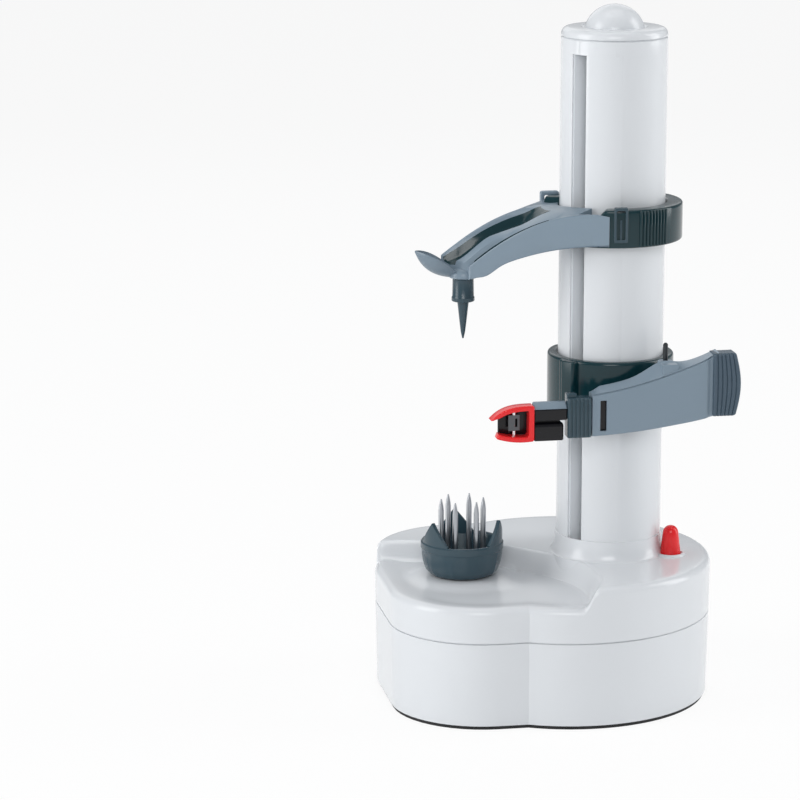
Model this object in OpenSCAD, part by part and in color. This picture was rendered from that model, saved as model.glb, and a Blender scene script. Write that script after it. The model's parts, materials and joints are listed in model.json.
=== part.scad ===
// Electric peeler: a lobed base with a gear train, a column with a lead screw,
// a sprung peeling arm on a carriage, and a food holder that slides on the column.
// Built on the column's axis, then moved so that the origin is under the middle of the whole.

/* [Base] */
// Radius of the food lobe's corners, at the table
corner_r = 38; // [37:0.1:42]
// Distance from the column axis to the corners' centres, to the left
corner_x = 58; // [57:0.5:60]
// Distance of the corners' centres from the middle, to each side
corner_y = 15.8; // [15:0.1:20]
// Radius of the lobe under the column, at the table
column_lobe_r = 60.2; // [59:0.1:66]
// Distance from the column axis to the column lobe's centre
column_lobe_x = 18.5; // [16:0.5:22]
// Growth of the outline's radius for each millimetre of height
draft = 0.02; // [0:0.004:0.04]
// Height of the platform that carries the column
platform_z = 60; // [59:0.5:66]
// Height of the dish under the food
dish_z = 51.6; // [51:0.2:55]
// Height of the seam between the two shells
seam_z = 36.4; // [33:0.2:38]
// Radius of the curved wall between dish and platform
dish_wall_r = 91.5; // [90:0.5:93]
// Centre of that wall, left of the column axis
dish_wall_x = 104.7; // [104:0.1:106]
// Centre of that wall, in front of the column axis
dish_wall_y = 52.3; // [52:0.1:54]
// Rounding of the shell's top edges
edge_r = 3; // [1:0.5:4]
// Wall of the shells
wall = 2.4; // [1.8:0.1:3]
// Thickness of the floor
floor_t = 3.8; // [3.6:0.1:4.6]
// Height of the foot ring
foot_h = 1.6; // [1:0.1:2.4]
// Width of the foot ring
foot_w = 4.7; // [3:0.1:4.8]
// Inset of the foot ring from the shell's edge
foot_inset = 0.8; // [0.3:0.1:1.2]
// Outer radius of the screw towers
tower_r = 4.2; // [4:0.1:4.4]

/* [Column] */
// Radius of the column
column_r = 22; // [21.5:0.1:23]
// Wall of the column
column_wall = 2.4; // [1.8:0.1:3]
// Height of the seam under the cap
column_top = 278; // [260:1:300]
// Thickness of the cap above its seam
cap_t = 4; // [3.5:0.1:5]
// Rounding of the cap's shoulder
cap_round = 3; // [2:0.1:3.4]
// Radius of the cap's dome
dome_r = 12.3; // [10:0.1:15]
// Height of the cap's dome
dome_h = 9.2; // [6:0.1:10]
// Width of the slot that the carriage's tongue runs in
slot_w = 6.5; // [6:0.1:8]
// Direction of the slot, from the column axis
slot_angle = -144.5; // [-150:0.5:-140]
// Height of the slot's lower end
slot_z = 65; // [64.5:0.5:67]
// Height of the ring round the column's foot, above the platform
foot_ring_h = 4.5; // [3:0.1:5]
// Width of that ring
foot_ring_w = 1.6; // [1.2:0.1:2.4]

/* [Food cup] */
// Distance from the column axis to the food axis
food_x = 63; // [62:0.5:65]
// Radius of the cup's rim
cup_rim_r = 17.4; // [15:0.1:19]
// Radius of the cup's foot
cup_foot_r = 14.2; // [12:0.1:14.6]
// Height of the cup's wall
cup_h = 14; // [12:0.5:16]
// Wall of the cup
cup_wall = 2; // [1.5:0.1:2.5]
// Gap under the cup
cup_gap = 1.4; // [1:0.1:2]
// Height of the cup's teeth above its rim
tooth_h = 7; // [4:0.5:9]
// Direction of the first tooth, seen from above, where 0 is towards the column
tooth_dir = 90; // [0:10:350]
// Number of teeth on the rim
tooth_count = 3; // [2:1:5]
// Number of prongs in the cup
prong_count = 6; // [4:1:8]
// Thickness of a prong
prong_d = 2.3; // [1.8:0.1:2.8]
// Distance of the prongs from the food axis
prong_ring_r = 9; // [8:0.1:10]
// Length of a prong above the cup's floor
prong_len = 29; // [20:1:34]
// Thickness of the spindle
spindle_d = 8; // [7:0.5:9]

/* [Gear train] */
// Teeth of the spindle gear
spindle_teeth = 48; // [48:1:48]
// Teeth of the drive gear's small wheel
drive_small_teeth = 23; // [23:1:23]
// Teeth of the screw gear
screw_teeth = 32; // [32:1:32]
// Teeth of the drive gear's large wheel
drive_large_teeth = 46; // [46:1:46]
// Teeth of the reduction gear's small wheel
reduction_small_teeth = 14; // [14:1:14]
// Teeth of the reduction gear's large wheel
reduction_large_teeth = 54; // [54:1:54]
// Teeth of the motor pinion
pinion_teeth = 12; // [12:1:12]
// Module of the middle stage
middle_module = 0.8; // [0.76:0.02:0.82]
// Module of the motor stage
motor_module = 0.6; // [0.56:0.02:0.6]
// Width of the gears' faces
gear_w = 4.4; // [3.6:0.2:4.6]
// Play between meshing teeth
backlash = 0.28; // [0.2:0.02:0.34]
// Radius of the motor
motor_r = 12.2; // [11:0.1:12.3]
// Length of the motor's body
motor_len = 23; // [20:0.5:24]
// Thickness of the gear plate
plate_t = 2.5; // [2:0.1:3]
// Thickness of the gears' axles
axle_d = 4; // [3:0.2:4.4]

/* [Lead screw] */
// Outer thickness of the lead screw
screw_d = 9; // [8:0.2:9.6]
// Depth of its thread
thread_depth = 1; // [0.6:0.1:1.2]
// Pitch of its thread
thread_pitch = 5; // [4:0.5:6]

/* [Carriage] */
// Height of the carriage's lower face, as stored
carriage_z = 121; // [118:0.5:124]
// Height of the carriage
carriage_h = 25; // [24:0.5:27]
// Wall of the carriage's clip
carriage_wall = 4.1; // [3.4:0.1:4.4]
// Thickness of the hinge pin
pin_d = 2; // [1.6:0.1:2.4]
// Distance of the hinge from the column axis, to the right
hinge_x = 16.4; // [15.6:0.1:18]
// Distance of the hinge from the column axis, to the front
hinge_y = 28.5; // [28:0.1:29.5]
// Radius of the hinge's knuckles
knuckle_r = 3.3; // [3:0.1:3.5]

/* [Peeling arm] */
// Distance of the arm's front face from the column axis
arm_front = 39.5; // [39:0.1:41]
// Depth of the arm
arm_depth = 7.8; // [7:0.1:8]
// Wall of the arm
arm_wall = 2.2; // [1.6:0.1:2.6]
// Left end of the arm's face, from the column axis
arm_left = 16.5; // [15.5:0.1:18]
// Right end of the arm's face, from the column axis
arm_right = 35.4; // [34:0.1:38]
// Height of the arm at its left end
arm_h_left = 17.6; // [17:0.1:20]
// Height of the arm at its right end
arm_h_right = 26; // [24:0.1:28]
// Rise of the lower edge from left to right
arm_rise = 6.8; // [5:0.1:8]
// Length of the grip at the arm's right end
grip_len = 10; // [8:0.1:13]

/* [Blade head] */
// Length of the ribbed clip
clip_len = 10; // [9:0.1:11]
// Length of the stem between clip and guard
stem_len = 14; // [12:0.1:16]
// Length of the guard
guard_len = 18; // [17:0.1:20]
// Depth of the guard
guard_depth = 6; // [5.4:0.1:6.4]
// Thickness of the blade
blade_t = 0.8; // [0.6:0.1:1]
// Width of the blade
blade_w = 5; // [4:0.1:5.2]

/* [Food holder] */
// Height of the collar's lower face, as stored
collar_z = 194.3; // [192:0.1:198]
// Height of the collar
collar_h = 15.7; // [14:0.1:18]
// Wall of the collar
collar_wall = 6.9; // [6:0.1:7.4]
// Half width of the arm's tip
tip_half_w = 6.8; // [6.4:0.1:7.6]
// Wall of the arm
holder_wall = 2.2; // [1.6:0.1:2.6]
// Radius of the spike's sleeve
sleeve_r = 4.6; // [4:0.1:5]
// Length of the spike's sleeve
sleeve_len = 9.4; // [8:0.1:11]
// Length of the spike under its sleeve
spike_len = 16; // [12:0.5:20]
// Number of ribs on the collar's side
rib_count = 12; // [8:1:14]

/* [Start button] */
// Distance of the button from the column axis, to the right
button_x = 24; // [23.6:0.1:26]
// Distance of the button from the column axis, to the front
button_y = 13; // [12.6:0.1:14]
// Radius of the button's foot
button_r = 4.6; // [4.2:0.1:4.7]
// Height of the button above its flange
button_h = 12.6; // [9:0.1:13]
// Travel of the button
button_travel = 3; // [2:0.1:3]

/* [Batteries] */
// Radius of a cell
cell_r = 7.25; // [7.25:0.01:7.25]
// Length of a cell
cell_len = 50.5; // [50.5:0.1:50.5]
// Travel of the battery door
door_travel = 8; // [6:0.5:9]

/* [Hidden] */
$fn = 64;
eps = 0.01;
// Clearances: running fits, sliding fits, and pieces seated in one another
run_gap = 0.05;
slide_gap = 0.3;
seat_gap = 0.1;
// Step by which ribs and blocks on a ring end short of its upper and lower faces
rib_step = 0.25;

white = [0.93, 0.94, 0.95];
slate = [0.30, 0.38, 0.43];
black = [0.08, 0.08, 0.09];
red = [0.85, 0.08, 0.08];
steel = [0.72, 0.74, 0.76];
brass = [0.78, 0.62, 0.32];
nylon = [0.90, 0.88, 0.80];

// Levels inside the base, from the table up
floor_z = foot_h + floor_t;
cell_z = floor_z + 0.4 + cell_r;
bay_roof_t = 1.5;
bay_top = cell_z + cell_r + 0.7 + bay_roof_t;
plate_z = bay_top;
plate_top = plate_z + plate_t;
motor_stage_z = plate_top + 1.2;
middle_stage_z = motor_stage_z + gear_w;
bracket_z = middle_stage_z + 0.2;
bracket_t = 1.5;
motor_z = bracket_z + bracket_t;
main_stage_z = middle_stage_z + gear_w + 4.6;
main_stage_top = main_stage_z + gear_w;
dish_under = dish_z - wall;
platform_under = platform_z - wall;

// Gear train: the two outer gears fix the module of the main stage
main_module = 2 * food_x / (spindle_teeth + 2 * drive_small_teeth + screw_teeth);
drive_x = -food_x + main_module * (spindle_teeth + drive_small_teeth) / 2;
drive_pos = [drive_x, 0];
reduction_dir = 60;
middle_distance = middle_module * (drive_large_teeth + reduction_small_teeth) / 2;
reduction_pos = drive_pos + middle_distance * [cos(reduction_dir), sin(reduction_dir)];
motor_dir = 80;
motor_distance = motor_module * (reduction_large_teeth + pinion_teeth) / 2;
motor_pos = reduction_pos + motor_distance * [cos(motor_dir), sin(motor_dir)];
motor_shaft_r = 1;
motor_boss_r = 3;
bracket_reach = 16;
motor_post_pos = [for (side = [-1, 1]) motor_pos + [side * bracket_reach, 1.7]];

// Screw towers of the case and posts of the gear plate, set in from the lobes' walls
case_tower_inset = 10.3;
right_tower_dirs = [-35, 25];
case_tower_pos = [
    for (side = [-1, 1])
        [0, side * corner_y] + on_lobe(-corner_x, corner_r - case_tower_inset, side * 120),
    for (a = right_tower_dirs) on_lobe(-column_lobe_x, column_lobe_r - case_tower_inset, a)
];
plate_post_r = 3.4;
plate_post_pos = [
    [-corner_x, corner_y + corner_r - 13.2],
    [-corner_x, -corner_y - corner_r + 13.2],
    on_lobe(-column_lobe_x, column_lobe_r - 16.6, -67.6),
    on_lobe(-column_lobe_x, column_lobe_r - 12.4, 48)
];
screw_hole_r = 1.5;
screw_shank_r = 1.45;
screw_head_r = 2.8;
screw_head_h = 2;
case_head_z = seam_z - 10;

// Battery bay
cell_pitch = 2 * cell_r + 0.7;
cell_count = 4;
bay_x = 8 - corner_x;
bay_half_x = cell_count * cell_pitch / 2 + 1.4;
bay_half_y = cell_len / 2 + 2.4;
bay_wall = 1.5;
contact_t = 0.4;
door_t = 1.4;
door_z = foot_h + 1;
door_lap = 2.2;
door_lip = 1.4;

// Inlet for a charger's plug, at the back
jack_z = foot_h + 15;
jack_r = 4.2;
jack_seat_y = column_lobe_r + draft * jack_z - 1;
jack_len = 10.4;

// Column
column_in_r = column_r - column_wall;
column_foot_z = platform_z - 7;
tab_reach = 8;
tab_w = 9;
tab_t = 3;
tab_z = platform_under - seat_gap - tab_t;
tab_screw_r = column_r + 4.4;
tab_dirs = [15, 60, 125, 285];
small_screw_r = 1.2;
slot_top = column_top - 6;
slot_wall_r = 13.5;
slot_wall_t = 1.2;
spigot_len = 8;
screw_foot_z = plate_z + 0.3;
bush_len = 8;
upper_bush_z = column_top - 16;
screw_top_z = upper_bush_z + bush_len;
screw_journal_r = 4;
bush_r = 5.4;
bush_flange_r = 7;

// Food cup and spindle
cup_z = dish_z + cup_gap;
cup_floor_t = 3;
spindle_r = spindle_d / 2;
bearing_r = spindle_r + 2.5;
bearing_top = dish_z - 0.4;
bearing_z = main_stage_top + 1.6;
bearing_boss_r = bearing_r + 2.4;

// Carriage
clip_in_r = column_r + slide_gap;
clip_out_r = clip_in_r + carriage_wall;
clip_open_from = 28;
clip_open_to = 137;
nut_z = carriage_z + 5;
nut_h = 15;
nut_r = screw_d / 2 + 5;
tongue_w = slot_w - 2 * slide_gap;
tongue_end = column_r + 3.4;
rib_r = clip_out_r + 2.6;
hinge_pos = [hinge_x, -hinge_y];
lug_z = carriage_z + 8;
lug_h = 6;
knuckle_low_z = carriage_z + 0.8;
knuckle_top_z = carriage_z + 28.4;
pin_top_z = carriage_z + 33.4;
spring_wire = 0.8;
spring_turns = 6;
spring_step = spring_wire + 0.1;
wire_sides = 8;
spring_r = pin_d / 2 + 0.9;

// Peeling arm: heights are counted from the carriage
arm_z = carriage_z - 2.7;
arm_back = arm_front - arm_depth;
arm_top_z = arm_z + arm_h_left;
arm_end_z = arm_z + arm_rise;
arm_end_top = arm_end_z + arm_h_right;
arm_under_sag = 1.35;
arm_crease_sag = 2.3;
arm_rear_lift = 3;
arm_steps = 16;
grip_bulge = 1.6;
clip_gap = 0.4;
clip_right = -arm_left - clip_gap;
clip_left = clip_right - clip_len;
clip_z = arm_z - 0.2;
clip_h = arm_h_left - 1;
clip_ribs = 6;
stem_left = clip_left - stem_len;
stem_gap = 1.6;
stem_z = clip_z - 0.8;
stem_h = 15.8;
stem_bar_h = 7.3;
head_front = arm_front;
head_back = head_front - guard_depth;
guard_left = stem_left - guard_len;
guard_z = stem_z + 0.3;
guard_h = 15;
guard_tip_z = guard_z + 9.2;
guard_frame = 2;
guard_low_left = guard_left + 2.6;
blade_x = guard_left + 10;
blade_turn = 14;
blade_low_z = guard_z + guard_frame + 2.2;
blade_high_z = guard_z + guard_h - guard_frame - 2.2;
blade_y = -(head_front + head_back) / 2;

// Food holder
collar_in_r = column_r + slide_gap;
collar_out_r = collar_in_r + collar_wall;
collar_top = collar_z + collar_h;
holder_root_x = -8;
holder_root_half_w = 28;
holder_tip_x = -food_x + 0.7;
crest_root_z = collar_top - 1.3;
crest_tip_z = collar_z - 1.3;
crease_root_z = collar_top - 2.2;
crease_tip_z = collar_z - 10;
under_root_z = collar_z + 0.7;
under_tip_z = collar_z - 15;
crest_bow = 5.1;
crease_bow = 4.6;
under_bow = 4.1;
crest_share = 0.42;
holder_steps = 18;
sleeve_top = under_tip_z - 0.4;
sleeve_z = sleeve_top - sleeve_len;
spike_shaft_r = 2.1;
spike_boss_r = 4.2;
spike_boss_top = under_tip_z + 6;
spike_ring_t = 0.8;
spike_ring_z = spike_boss_top + 0.15;
spike_shaft_top = spike_ring_z + spike_ring_t + 0.6;
tab_tilt = 33;
tab_curve_r = 8.4;
tab_plate_t = 1.9;
tab_len = 22;
tab_half_w = 7.6;
ear_reach = 5.4;
latch_dir = -96.5;
latch_w = 5.7;
groove_dir = -103;

// Start button
button_pos = [button_x, -button_y];
button_hole_r = button_r + slide_gap;
button_z = platform_z - 1.4;
bezel_r = button_hole_r + 1.7;
bezel_h = 0.9;
keeper_r = button_hole_r + 1;
keeper_t = 1;
button_stem_r = 2;
button_stem_z = platform_under - 4.6;
switch_top = button_stem_z - button_travel - 0.9;
switch_half_x = 5;
switch_half_y = keeper_r + 0.5;
switch_h = 7;

// Origin: the middle of the whole outline, on the table
left_end = -corner_x - corner_r - draft * (dish_z - edge_r);
right_end = arm_right + grip_len + grip_bulge;
origin_x = (left_end + right_end) / 2;

// Underside of the shell over a point: the dish lies lower than the platform
function ceiling(p) = norm(p + [dish_wall_x, dish_wall_y]) < dish_wall_r ? dish_under : platform_under;

function on_lobe(x, r, a) = [x + r * cos(a), r * sin(a)];

// Height of a bowed line at x: a straight line from [x0, z0] to [x1, z1], lifted by rise in its middle
function bowed(x, x0, z0, x1, z1, rise) =
    let (t = (x - x0) / (x1 - x0)) z0 + (z1 - z0) * t + 4 * rise * t * (1 - t);

function arm_under(x) = bowed(x, -arm_left, arm_z, arm_right, arm_end_z, -arm_under_sag);
function arm_crease(x) = bowed(x, -arm_left, arm_top_z, arm_right, arm_end_top, -arm_crease_sag);
function arm_rear(x) = arm_crease(x) + arm_rear_lift * sin(180 * (x + arm_left) / (arm_left + arm_right));

function holder_line(x, root_z, tip_z, bow) = bowed(x, holder_root_x, root_z, holder_tip_x, tip_z, bow);
function crest(x) = holder_line(x, crest_root_z, crest_tip_z, crest_bow);
function crease(x) = holder_line(x, crease_root_z, crease_tip_z, crease_bow);
function under(x) = holder_line(x, under_root_z, under_tip_z, under_bow);

// Outline of an involute gear: [radius, half tooth angle] pairs up the flank, then every tooth in turn
pressure_angle = 20;
addendum = 0.95;
dedendum = 1.25;
flank_steps = 3;
function involute_deg(a) = tan(a) * 180 / PI - a;
function flank(m, teeth) =
    let (
        pitch_r = m * teeth / 2,
        base_r = pitch_r * cos(pressure_angle),
        root_r = pitch_r - dedendum * m,
        low_r = max(base_r, root_r),
        tip_r = pitch_r + addendum * m,
        half = 90 / teeth - backlash * 45 / (PI * pitch_r) + involute_deg(pressure_angle)
    )
    concat(
        root_r < base_r ? [[root_r, half]] : [],
        [
            for (i = [0:flank_steps])
            let (r = low_r + (tip_r - low_r) * i / flank_steps)
            [r, half - involute_deg(acos(min(1, base_r / r)))]
        ]
    );
function gear_outline(m, teeth, phase) =
    let (side = flank(m, teeth), n = len(side))
    [
        for (k = [0:teeth - 1], i = [0:2 * n - 1])
        let (
            p = i < n ? side[i] : side[2 * n - 1 - i],
            a = phase + 360 * k / teeth + (i < n ? -p[1] : p[1])
        )
        p[0] * [cos(a), sin(a)]
    ];

// Phase that puts a gap of the second gear on a tooth of the first, seen in direction dir from the first
function mesh_phase(dir, phase, teeth, other_teeth) =
    dir + 180 - 360 / other_teeth * (0.5 - (dir - phase) * teeth / 360);

spindle_phase = 0;
drive_small_phase = mesh_phase(0, spindle_phase, spindle_teeth, drive_small_teeth);
screw_phase = mesh_phase(0, drive_small_phase, drive_small_teeth, screw_teeth);
reduction_phase = mesh_phase(reduction_dir, 0, drive_large_teeth, reduction_small_teeth);
pinion_phase = mesh_phase(motor_dir, 0, reduction_large_teeth, pinion_teeth);

// ---- Shared shapes ----

// Moves what is built on the column's axis to the origin of the whole
module centred() {
    translate([-origin_x, 0, 0]) children();
}

module at(pos, z = 0) {
    translate([pos[0], pos[1], z]) children();
}

module tube(r, hole_r, h) {
    difference() {
        cylinder(r = r, h = h);
        translate([0, 0, -1]) cylinder(r = hole_r, h = h + 2);
    }
}

// A round block that grows by slope per millimetre of height, with a rounded upper edge
module rounded_disc(r0, slope, z0, z1, round) {
    steps = 4;
    r1 = r0 + slope * (z1 - round - z0);
    rotate_extrude()
        polygon(concat(
            [[0, z0], [r0, z0]],
            [
                for (i = [0:steps])
                let (a = 90 * i / steps)
                [r1 - round + round * cos(a), z1 - round + round * sin(a)]
            ],
            [[0, z1]]
        ));
}

// The four corners that the food lobe is wrapped round; the right-hand ones lie inside the other lobe
module at_corners() {
    for (x = [-corner_x, 14 - corner_x], side = [-1, 1])
        translate([x, side * corner_y, 0]) children();
}

// Both lobes of the base from z0 to z1, with rounded upper edges
module lobes(z0, z1) {
    translate([-column_lobe_x, 0, 0]) rounded_disc(column_lobe_r + draft * z0, draft, z0, z1, edge_r, $fn = 128);
    hull() at_corners() rounded_disc(corner_r + draft * z0, draft, z0, z1, edge_r, $fn = 48);
}

// The same outline with straight sides, set in by inset
module straight_lobes(z0, z1, inset = 0) {
    h = z1 - z0;
    r0 = column_lobe_r + draft * z0 - inset;
    c0 = corner_r + draft * z0 - inset;
    translate([-column_lobe_x, 0, z0]) cylinder(r1 = r0, r2 = r0 + draft * h, h = h, $fn = 128);
    hull() at_corners() translate([0, 0, z0]) cylinder(r1 = c0, r2 = c0 + draft * h, h = h, $fn = 48);
}

// The round space over the dish, to be taken out of the platform
module dish_space(z0, z1, grow = 0) {
    translate([-dish_wall_x, -dish_wall_y, z0])
        cylinder(r = dish_wall_r + grow, h = z1 - z0, $fn = 128);
}

module gear(m, teeth, phase, h) {
    linear_extrude(h) polygon(gear_outline(m, teeth, phase));
}

// A ring of points round a wire that runs about the Z axis at radius r, moved on along the wire by run
function wire_ring(r, wire_r, a, z, run) = [
    for (i = [0:wire_sides - 1])
    let (u = 360 * i / wire_sides, q = r + wire_r * cos(u))
    [q * cos(a) - run * sin(a), q * sin(a) + run * cos(a), z + wire_r * sin(u)]
];

// A wire coiled from z0 up to z1, with a straight leg at each end
module coil(r, wire_r, z0, z1, turns, low_leg, high_leg) {
    n = ceil(turns * 14);
    rings = concat(
        [wire_ring(r, wire_r, 0, z0, -low_leg)],
        [for (i = [0:n]) wire_ring(r, wire_r, 360 * turns * i / n, z0 + (z1 - z0) * i / n, 0)],
        [wire_ring(r, wire_r, 360 * turns, z1, high_leg)]
    );
    s = wire_sides;
    polyhedron(
        points = [for (ring = rings, p = ring) p],
        faces = concat(
            [[for (i = [s - 1:-1:0]) i], [for (i = [0:s - 1]) (len(rings) - 1) * s + i]],
            [
                for (k = [0:len(rings) - 2], i = [0:s - 1], half = [0, 1])
                let (a = k * s + i, b = k * s + (i + 1) % s)
                half == 0 ? [a, b, b + s] : [a, b + s, a + s]
            ]
        )
    );
}

// A pan-head screw that points up, its head's top at z
module screw(z, len, shank = screw_shank_r, head = screw_head_r, head_h = screw_head_h) {
    translate([0, 0, z]) cylinder(r = shank, h = len, $fn = 32);
    difference() {
        translate([0, 0, z - head_h]) cylinder(r = head, h = head_h, $fn = 32);
        for (a = [0, 90])
            rotate(a)
                translate([-head * 0.6, -head * 0.12, z - head_h - 1])
                    cube([head * 1.2, head * 0.24, 1 + head_h * 0.5]);
    }
}

// The wedge between two directions
module wedge(from, to, z0, z1, r = 60) {
    steps = 6;
    translate([0, 0, z0])
        linear_extrude(z1 - z0)
            polygon(concat(
                [[0, 0]],
                [for (i = [0:steps]) let (a = from + (to - from) * i / steps) r * [cos(a), sin(a)]]
            ));
}

// A ring that is open at the back, with rounded ends
module open_ring(in_r, out_r, z, h) {
    difference() {
        translate([0, 0, z]) tube(out_r, in_r, h, $fn = 128);
        wedge(clip_open_from, clip_open_to, z - 1, z + h + 1);
    }
    for (a = [clip_open_from, clip_open_to])
        rotate(a)
            translate([(in_r + out_r) / 2, 0, z + rib_step])
                rotate(90) cylinder(r = (out_r - in_r) / 2 - 0.1, h = h - 2 * rib_step, $fn = 32);
}

// A plate in the XZ plane between two height functions given as point lists
module side_plate(points, y0, y1) {
    translate([0, y1, 0]) rotate([90, 0, 0]) linear_extrude(y1 - y0) polygon(points);
}

// ---- Base ----

module base_upper_shell() {
    color(white) centred()
        difference() {
            union() {
                difference() {
                    upper_shell_skin();
                    upper_shell_hollow();
                }
                upper_shell_posts();
                translate([0, 0, platform_z - 1])
                    cylinder(r = column_r + slide_gap + foot_ring_w, h = foot_ring_h + 1, $fn = 128);
            }
            upper_shell_holes();
        }
}

module upper_shell_skin() {
    lobes(seam_z, dish_z);
    difference() {
        lobes(seam_z, platform_z);
        dish_space(seam_z - 1, platform_z + 1);
    }
}

module upper_shell_hollow() {
    straight_lobes(seam_z - 1, dish_under, wall);
    difference() {
        straight_lobes(dish_under - 1, platform_under, wall);
        dish_space(dish_under - 2, platform_z, wall);
    }
    straight_lobes(seam_z - 1, seam_z + 2, wall / 2 - seat_gap);
}

module upper_shell_posts() {
    for (p = case_tower_pos)
        at(p, seam_z) cylinder(r = tower_r, h = ceiling(p) + 1 - seam_z);
    for (p = plate_post_pos)
        at(p, plate_top) cylinder(r = plate_post_r, h = ceiling(p) + 1 - plate_top);
    at([-food_x, 0], bearing_z) cylinder(r = bearing_boss_r, h = dish_under + 1 - bearing_z);
    for (side = [-1, 1])
        translate([button_x - 3, -button_y + side * (switch_half_y + seat_gap + 0.6) - 0.6, switch_top - switch_h])
            cube([switch_half_x + 3.5, 1.2, platform_under + 1 - switch_top + switch_h]);
}

module upper_shell_holes() {
    for (p = case_tower_pos)
        at(p, seam_z - 1) cylinder(r = screw_hole_r, h = 11, $fn = 32);
    for (p = plate_post_pos)
        at(p, plate_top - 1) cylinder(r = screw_hole_r, h = 9, $fn = 32);
    at([-food_x, 0], bearing_z - 1) cylinder(r = bearing_r, h = dish_z + 2 - bearing_z);
    translate([0, 0, dish_under - 1]) cylinder(r = column_r + seat_gap, h = 30, $fn = 128);
    at(button_pos, dish_under) cylinder(r = button_hole_r, h = 20);
    for (a = tab_dirs)
        rotate(a) translate([tab_screw_r, 0, platform_under - 1]) cylinder(r = small_screw_r, h = 2.6, $fn = 32);
}

module base_lower_shell() {
    color(white) centred()
        difference() {
            union() {
                difference() {
                    straight_lobes(foot_h, seam_z);
                    straight_lobes(floor_z, seam_z + 1, wall);
                }
                difference() {
                    straight_lobes(seam_z - 2, seam_z + 1.8, wall / 2);
                    straight_lobes(seam_z - 3, seam_z + 3, wall);
                }
                for (p = case_tower_pos)
                    at(p, floor_z - 1) cylinder(r = tower_r, h = seam_z + 1 - floor_z);
                translate([bay_x - bay_half_x - bay_wall, -bay_half_y - bay_wall, floor_z - 1])
                    cube([2 * (bay_half_x + bay_wall), 2 * (bay_half_y + bay_wall), bay_top + 1 - floor_z]);
            }
            for (p = case_tower_pos) {
                at(p, foot_h - 1) cylinder(r = screw_head_r + 0.3, h = case_head_z + 1 - foot_h, $fn = 48);
                at(p, foot_h) cylinder(r = screw_hole_r, h = seam_z + 2, $fn = 32);
            }
            translate([bay_x - bay_half_x, -bay_half_y, foot_h - 1])
                cube([2 * bay_half_x, 2 * bay_half_y, bay_top + 1 - bay_roof_t - foot_h]);
            door_recess();
            translate([-column_lobe_x, 0, jack_z])
                rotate([-90, 0, 0]) cylinder(r = jack_r + seat_gap, h = 2 * column_lobe_r);
        }
}

// The groove that the battery door slides in, longer than the door by its travel
module door_recess() {
    translate([bay_x - bay_half_x - door_lap, -bay_half_y - door_lap, door_z])
        cube([2 * (bay_half_x + door_lap) + door_travel + 0.6, 2 * (bay_half_y + door_lap), door_t + 0.4]);
    translate([bay_x - bay_half_x - door_lap, -bay_half_y - door_lap + door_lip, foot_h - 1])
        cube([2 * (bay_half_x + door_lap) + door_travel + 0.6, 2 * (bay_half_y + door_lap - door_lip), door_z + 1]);
}

module foot_ring() {
    color(black) centred()
        difference() {
            straight_lobes(0, foot_h, foot_inset);
            straight_lobes(-1, foot_h + 1, foot_inset + foot_w);
        }
}

module battery_door() {
    x0 = bay_x - bay_half_x - door_lap + 0.2;
    y0 = -bay_half_y - door_lap + 0.3;
    color(white) centred()
        difference() {
            translate([x0, y0, door_z + 0.2])
                cube([2 * (bay_half_x + door_lap) - 0.4, -2 * y0, door_t]);
            for (i = [0:4])
                translate([x0 + 6 + 2.4 * i, -8, door_z - 0.8]) cube([1.2, 16, 1.4]);
        }
}

module battery_cells() {
    color([0.20, 0.34, 0.50]) centred()
        for (i = [0:cell_count - 1])
            translate([bay_x + (i - (cell_count - 1) / 2) * cell_pitch, 0, cell_z])
                rotate([90, 0, 180 * (i % 2)]) translate([0, 0, -cell_len / 2]) cell();
}

module cell() {
    cylinder(r = cell_r, h = cell_len - 1.2);
    cylinder(r = 2.75, h = cell_len);
}

module battery_contacts() {
    color(steel) centred()
        for (side = [-1, 1], i = [0:cell_count - 1])
            translate([
                bay_x + (i - (cell_count - 1) / 2) * cell_pitch,
                side * (bay_half_y - contact_t),
                cell_z
            ])
                rotate([90 * side, 0, 0]) {
                    translate([-5.5, -5.5, -contact_t]) cube([11, 11, contact_t]);
                    cylinder(r1 = 4.2, r2 = 2.2, h = bay_half_y - contact_t - cell_len / 2);
                }
}

module power_jack() {
    socket_depth = 9;
    color(black) centred()
        translate([-column_lobe_x, 0, jack_z])
            rotate([-90, 0, 0]) {
                difference() {
                    union() {
                        translate([0, 0, jack_seat_y - wall - jack_len]) cylinder(r = jack_r, h = jack_len + wall);
                        translate([-5.5, -5.5, jack_seat_y - wall - jack_len]) cube([11, 11, jack_len - 1.4]);
                    }
                    translate([0, 0, jack_seat_y - socket_depth]) cylinder(r = 2.9, h = socket_depth + 1);
                }
                translate([0, 0, jack_seat_y - socket_depth - 0.5]) cylinder(r = 1, h = socket_depth - 0.5, $fn = 24);
            }
}

// ---- Drive ----

module gear_plate() {
    spots = concat(plate_post_pos, motor_post_pos, [[-food_x, 0]]);
    color(nylon) centred()
        difference() {
            union() {
                translate([0, 0, plate_z])
                    linear_extrude(plate_t) hull() for (p = spots) translate(p) circle(r = 4.4, $fn = 32);
                for (p = motor_post_pos)
                    at(p, plate_top - 0.5) cylinder(r = 3, h = bracket_z + 0.5 - plate_top);
            }
            for (p = plate_post_pos)
                at(p, plate_z - 1) cylinder(r = screw_hole_r, h = plate_t + 2, $fn = 32);
            for (p = motor_post_pos)
                at(p, plate_top) cylinder(r = small_screw_r, h = 20, $fn = 32);
            for (p = [drive_pos, reduction_pos])
                at(p, plate_z - 1) cylinder(r = axle_d / 2, h = plate_t + 2, $fn = 48);
            at([-food_x, 0], plate_z + 0.8) cylinder(r = spindle_r - 1 + run_gap, h = plate_t);
            at([0, 0], plate_z - 1) cylinder(r = bush_r, h = plate_t + 2);
        }
}

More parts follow.
